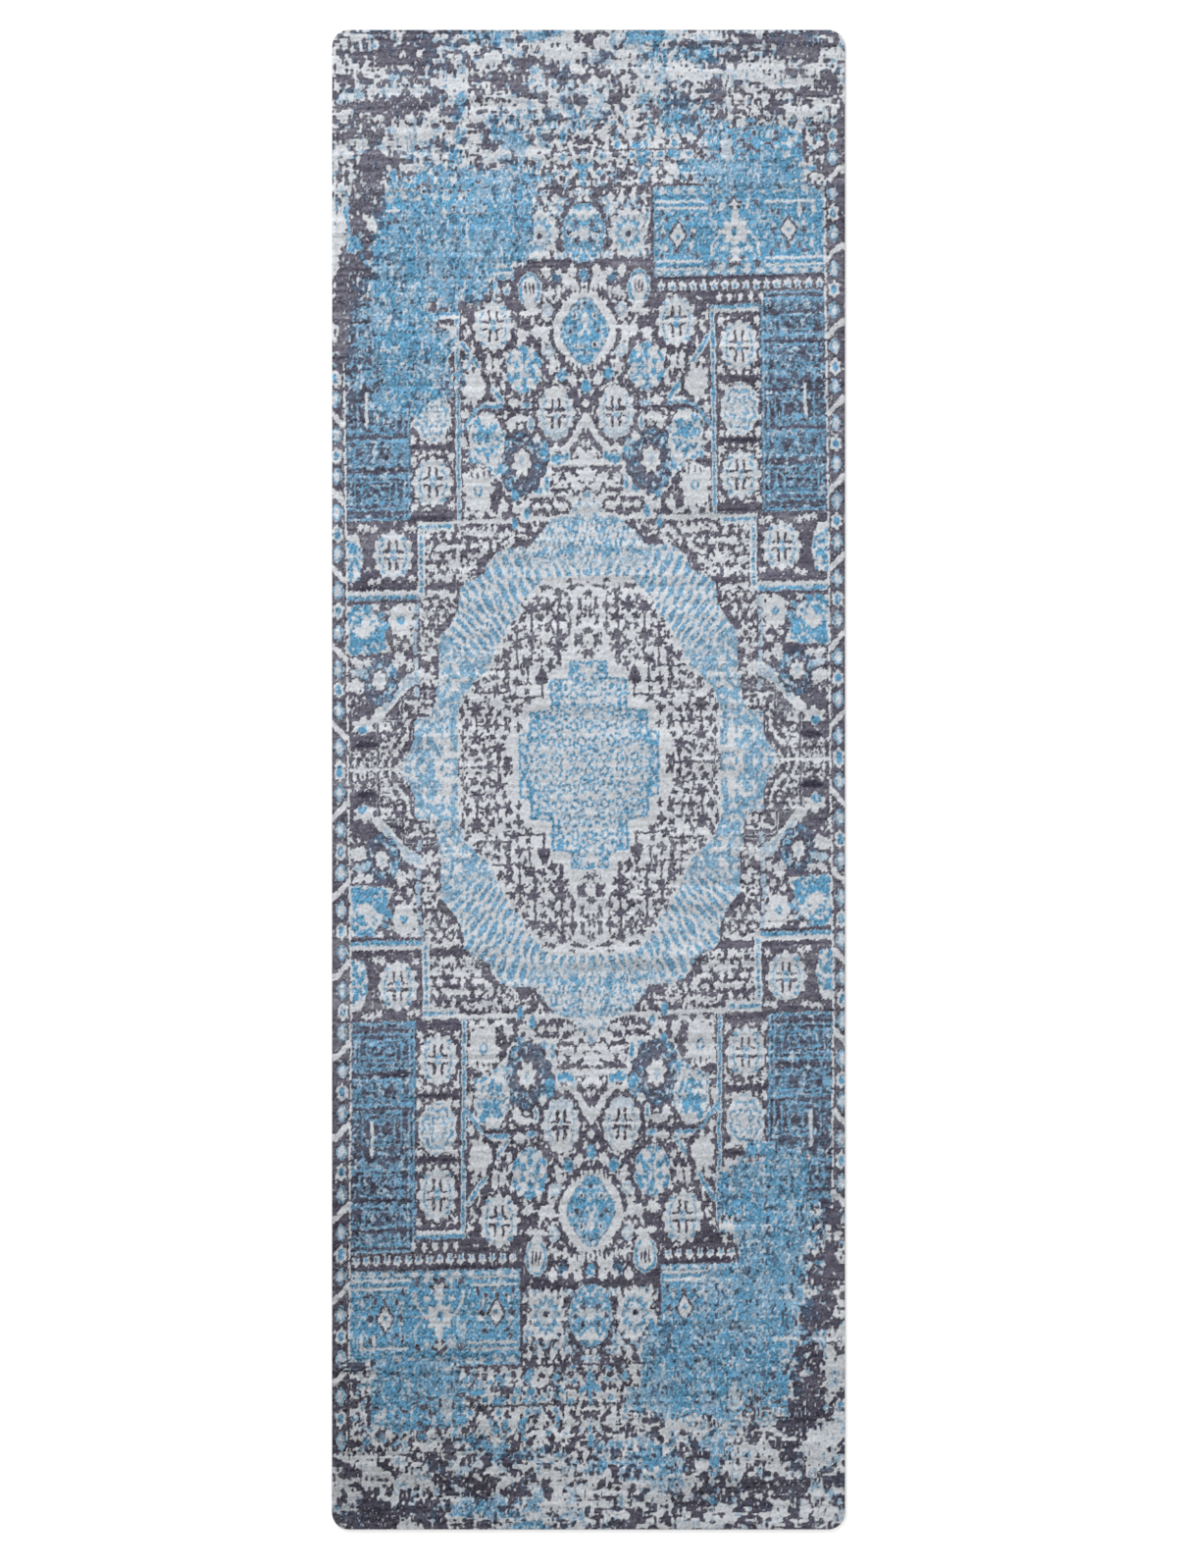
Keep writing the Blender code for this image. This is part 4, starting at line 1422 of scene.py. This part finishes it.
def cut_sheet(name, node_name, pitch, levels, ragged, seed, inset=0.0):
    """A sheet cut round the outline; levels are (way out in mm, share of the height)."""
    low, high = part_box(node_name)
    count = round(2 * (width + length) * 1000 / pitch)
    bpy.ops.object.select_all(action="DESELECT")
    bpy.ops.mesh.primitive_circle_add(vertices=count, radius=1, fill_type="NGON")
    piece = bpy.context.object
    piece.name = name
    piece.data.name = name
    bpy.ops.object.mode_set(mode="EDIT")
    bpy.ops.mesh.select_all(action="SELECT")
    for level in levels[1:]:
        bpy.ops.mesh.extrude_region_move(TRANSFORM_OT_translate={"value": (0, 0, 1)})
    bpy.ops.mesh.select_all(action="SELECT")
    bpy.ops.mesh.normals_make_consistent(inside=False)
    bpy.ops.object.mode_set(mode="OBJECT")
    disc = mesh_arrays(piece.data)
    spoke = np.rint(np.arctan2(disc[:, 1], disc[:, 0]) / (2 * math.pi) * count).astype(int) % count
    level = np.rint(disc[:, 2]).astype(int)
    x, y, out_x, out_y = (part[spoke] for part in rim(count, inset))
    rng = np.random.default_rng(seed)
    jitter = rng.uniform(-ragged, ragged, (len(levels), count))
    jitter += rng.uniform(-ragged, ragged, count) * 0.6
    push = np.array([way for way, share in levels])[level] + jitter[level, spoke]
    z = low.z * 1000 + (high.z - low.z) * 1000 * np.array([share for way, share in levels])[level]
    move_points(piece.data, x + out_x * push, y + out_y * push, z)
    piece.data.update()
    print(f"{name}: {count} points round the edge, {len(levels)} levels")
    return piece


# %% [markdown]
# The ground cloth is a plain weave, cut through its yarns, so its edge has a short beat of yarn
# ends. The felt is needled fibre and its cut is soft and uneven. The two glue films are thinner
# than paper and stop just short of the edge.

# %% Cut the cloth, the felt and the films
ground_weave = cut_sheet("ground_weave", "ground_cloth", 0.9,
                         [(-0.25, 0.0), (-0.05, 0.3), (-0.05, 0.7), (-0.25, 1.0)], 0.12, 31)
felt_layer = cut_sheet("felt_layer", "felt_cushion", 1.1,
                       [(-0.35, 0.0), (-0.1, 0.15), (0.0, 0.4), (0.0, 0.65), (-0.1, 0.88),
                        (-0.35, 1.0)], 0.16, 32)
upper_glue = cut_sheet("upper_glue", "upper_bond_film", 2.2, [(-0.1, 0.0), (0.0, 1.0)], 0.25, 33, 1.0)
lower_glue = cut_sheet("lower_glue", "lower_bond_film", 2.2, [(-0.1, 0.0), (0.0, 1.0)], 0.25, 34, 1.0)
for piece in (ground_weave, felt_layer, upper_glue, lower_glue):
    bpy.ops.object.select_all(action="DESELECT")
    piece.select_set(True)
    bpy.context.view_layer.objects.active = piece
    bpy.ops.object.shade_smooth_by_angle(angle=math.radians(50))
print("edges shaded")

# %% [markdown]
# ## Ribbed rubber grip
# The underside is rubber with shallow cross ribs, moulded with rounded shoulders. The rows of a
# grid follow the ribs: close together on each shoulder and wide apart on the flats. The open rim
# is then extruded up and filled, which closes the sheet.

# %% Mould the grip
RIB_PITCH = 12.0
RIB_FLAT = 3.3  # half the flat of a rib, in mm
RIB_FOOT = 4.5  # half its foot
RIB_DEPTH = 0.4
SHOULDER = (0.0, 0.25, 0.5, 0.75, 1.0)
GRIP_COLUMNS = 16


def rib_height(y):
    """Height of the underside above the floor at a row, in mm."""
    from_rib = np.abs((y + RIB_PITCH / 2) % RIB_PITCH - RIB_PITCH / 2)
    rise = np.clip((from_rib - RIB_FLAT) / (RIB_FOOT - RIB_FLAT), 0, 1)
    return RIB_DEPTH * rise * rise * (3 - 2 * rise)


half_w, half_l = width * 500, length * 500
rib_rows = []
for rib in range(-75, 76):
    for share in SHOULDER:
        way = RIB_FLAT + share * (RIB_FOOT - RIB_FLAT)
        rib_rows += [rib * RIB_PITCH - way, rib * RIB_PITCH + way]
end_arc = half_l - CORNER_RADIUS * (1 - np.sin(np.linspace(0, math.pi / 2, 17)))
grip_y = np.unique(np.round(np.concatenate([rib_rows, end_arc, -end_arc]), 2))
grip_y = grip_y[np.abs(grip_y) <= half_l]
past = np.clip(np.abs(grip_y) - (half_l - CORNER_RADIUS), 0, CORNER_RADIUS)
grip_half = half_w - CORNER_RADIUS + np.sqrt(CORNER_RADIUS**2 - past**2)

grip_low, grip_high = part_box("grip_backing")
bpy.ops.object.select_all(action="DESELECT")
bpy.ops.mesh.primitive_grid_add(x_subdivisions=GRIP_COLUMNS, y_subdivisions=len(grip_y) - 1, size=2)
rubber_grip = bpy.context.object
rubber_grip.name = "rubber_grip"
rubber_grip.data.name = "rubber_grip"
bpy.ops.object.mode_set(mode="EDIT")
bpy.ops.mesh.select_all(action="SELECT")
bpy.ops.mesh.region_to_loop()
bpy.ops.mesh.extrude_region_move(TRANSFORM_OT_translate={"value": (0, 0, 1)})
bpy.ops.mesh.extrude_region_move(TRANSFORM_OT_translate={"value": (0, 0, 1)})
bpy.ops.mesh.edge_face_add()
bpy.ops.mesh.select_all(action="SELECT")
bpy.ops.mesh.normals_make_consistent(inside=False)
bpy.ops.object.mode_set(mode="OBJECT")

lattice = mesh_arrays(rubber_grip.data)
row = np.rint((lattice[:, 1] + 1) / 2 * (len(grip_y) - 1)).astype(int)
level = np.rint(lattice[:, 2]).astype(int)
top = (grip_high.z - grip_low.z) * 1000
x = lattice[:, 0] * grip_half[row]
z = np.choose(level, [rib_height(grip_y[row]), np.full(len(row), 0.75 * top), np.full(len(row), top)])
move_points(rubber_grip.data, x, grip_y[row], grip_low.z * 1000 + z)
rubber_grip.data.update()
bpy.ops.object.shade_smooth_by_angle(angle=math.radians(40))
print(f"rubber_grip: {len(grip_y)} rows, {len(rubber_grip.data.polygons)} faces")

# %% [markdown]
# ## Finishes of the lower sheets
# The cloth needs its weave, which is made from two sine waves that pass over and under each
# other. It is a group too, because the rubber carries the same weave as a faint imprint of the
# belt that it was moulded on.

# %% Effect: plain weave
plain_weave, given, result = new_effect(
    "plain_weave",
    [("Vector", "Vector", None), ("Yarns per metre", "Float", 900.0)],
    [("Over", "Float"), ("Height", "Float")],
)
scaled = node(plain_weave, "ShaderNodeVectorMath",
              {0: given["Vector"], "Scale": given["Yarns per metre"]}, operation="SCALE").outputs[0]
axes = node(plain_weave, "ShaderNodeSeparateXYZ", {0: scaled}).outputs
warp = maths(plain_weave, "SINE", maths(plain_weave, "MULTIPLY", axes[0], math.pi))
weft = maths(plain_weave, "SINE", maths(plain_weave, "MULTIPLY", axes[1], math.pi))
crossing = maths(plain_weave, "MULTIPLY", warp, weft)
over = node(plain_weave, "ShaderNodeMapRange", {0: crossing, 1: -0.4, 2: 0.4}).outputs[0]
plain_weave.links.new(over, result["Over"])
plain_weave.links.new(maths(plain_weave, "ABSOLUTE", crossing), result["Height"])


def with_weave(tree, place, yarns):
    """The plain weave placed in a finish."""
    weave = node(tree, "ShaderNodeGroup", node_tree=plain_weave)
    tree.links.new(place, weave.inputs["Vector"])
    weave.inputs["Yarns per metre"].default_value = yarns
    return weave.outputs


print("effect:", plain_weave.name)

# %% Finish: ground cloth
cloth_finish, tree, shader = new_finish(
    "undyed_cloth", 0.9, Sheen_Weight=0.15, Sheen_Roughness=0.5, Specular_IOR_Level=0.2)
place = node(tree, "ShaderNodeTexCoord").outputs["Object"]
grain = with_grain(tree, place, 900.0, 3200.0, (1.0, 1.0, 1.0))
weave = with_weave(tree, place, 1100.0)
cloth = blend_colour(tree, weave["Over"], linear(176, 172, 162), linear(205, 202, 192))
cloth = blend_colour(tree, grain["Shade"], linear(150, 147, 140), cloth)
tree.links.new(cloth, shader.inputs["Base Color"])
lift = maths(tree, "ADD", weave["Height"], grain["Height"])
raise_surface(tree, shader, lift, 0.7, 0.0003)
ground_weave.data.materials.append(cloth_finish)
print("ground cloth finished")

# %% Finish: needled felt
felt_finish, tree, shader = new_finish(
    "needled_felt", 0.95, Sheen_Weight=0.25, Sheen_Roughness=0.5, Specular_IOR_Level=0.15)
place = node(tree, "ShaderNodeTexCoord").outputs["Object"]
grain = with_grain(tree, place, 520.0, 2000.0, (1.0, 1.0, 2.2))
flecks = node(tree, "ShaderNodeTexNoise", {"Vector": place, "Scale": 1500.0, "Detail": 1.0})
fleck_share = node(tree, "ShaderNodeMapRange", {0: flecks.outputs[0], 1: 0.6, 2: 0.68}).outputs[0]
felt = blend_colour(tree, grain["Shade"], linear(118, 118, 121), linear(166, 166, 168))
felt = blend_colour(tree, fleck_share, felt, linear(206, 204, 200))
tree.links.new(felt, shader.inputs["Base Color"])
rough = node(tree, "ShaderNodeMapRange", {0: grain["Shade"], 3: 0.88, 4: 1.0})
tree.links.new(rough.outputs[0], shader.inputs["Roughness"])
raise_surface(tree, shader, grain["Height"], 0.9, 0.0008)
felt_layer.data.materials.append(felt_finish)
print("felt finished")

# %% Finish: glue films
glue_finish, tree, shader = new_finish("hot_melt_film", 0.45, Specular_IOR_Level=0.4)
place = node(tree, "ShaderNodeTexCoord").outputs["Object"]
cloudy = node(tree, "ShaderNodeTexNoise", {"Vector": place, "Scale": 220.0, "Detail": 3.0})
glue = blend_colour(tree, cloudy.outputs[0], linear(196, 194, 184), linear(232, 230, 222))
tree.links.new(glue, shader.inputs["Base Color"])
rough = node(tree, "ShaderNodeMapRange", {0: cloudy.outputs[0], 3: 0.32, 4: 0.6})
tree.links.new(rough.outputs[0], shader.inputs["Roughness"])
raise_surface(tree, shader, cloudy.outputs[0], 0.3, 0.0004)
for film in (upper_glue, lower_glue):
    film.data.materials.append(glue_finish)
print("films finished")

# %% [markdown]
# Rubber that lies on a floor is scuffed paler on the flats of its ribs, and keeps its dark skin
# in the grooves. The height of a point tells which of the two it is.

# %% Finish: moulded rubber
rubber_finish, tree, shader = new_finish("moulded_rubber", 0.75, Specular_IOR_Level=0.35)
place = node(tree, "ShaderNodeTexCoord").outputs["Object"]
height = node(tree, "ShaderNodeSeparateXYZ", {0: place}).outputs[2]
flat_share = node(tree, "ShaderNodeMapRange", {0: height, 1: 0.00022, 2: 0.00002}).outputs[0]
scuffs = node(tree, "ShaderNodeTexNoise", {"Vector": place, "Scale": 60.0, "Detail": 6.0,
                                           "Roughness": 0.7})
scuff_share = node(tree, "ShaderNodeMapRange", {0: scuffs.outputs[0], 1: 0.42, 2: 0.7}).outputs[0]
weave = with_weave(tree, place, 640.0)
skin = blend_colour(tree, scuffs.outputs[0], linear(58, 59, 62), linear(72, 73, 76))
worn_share = maths(tree, "MULTIPLY", flat_share, scuff_share, clamp=True)
skin = blend_colour(tree, worn_share, skin, linear(104, 104, 106))
tree.links.new(skin, shader.inputs["Base Color"])
rough = node(tree, "ShaderNodeMapRange", {0: scuff_share, 3: 0.66, 4: 0.9})
tree.links.new(rough.outputs[0], shader.inputs["Roughness"])
lift = maths(tree, "ADD", maths(tree, "MULTIPLY", weave["Height"], 0.7), scuffs.outputs[0])
raise_surface(tree, shader, lift, 0.5, 0.00025)
rubber_grip.data.materials.append(rubber_finish)
print("rubber finished")

# %% [markdown]
# ## Joining the rug to its frame
# Every piece rides on the rug's one body and stands for the CAD sheet that it replaces. All of
# them are flexible sheets that lie flat.

for strip in strips:
    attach(strip, "root")
    rows = mesh_arrays(strip.data)[:, 1]
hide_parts("pile_face")

for piece, slot, cad_sheet in (
    (ground_weave, "ground_cloth", "ground_cloth"),
    (felt_layer, "felt", "felt_cushion"),
    (rubber_grip, "rubber", "grip_backing"),
    (upper_glue, "bond_film", "upper_bond_film"),
    (lower_glue, "bond_film", "lower_bond_film"),
):
    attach(piece, "root")
    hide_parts(cad_sheet)
print("pieces joined:", len(strips) + 5)
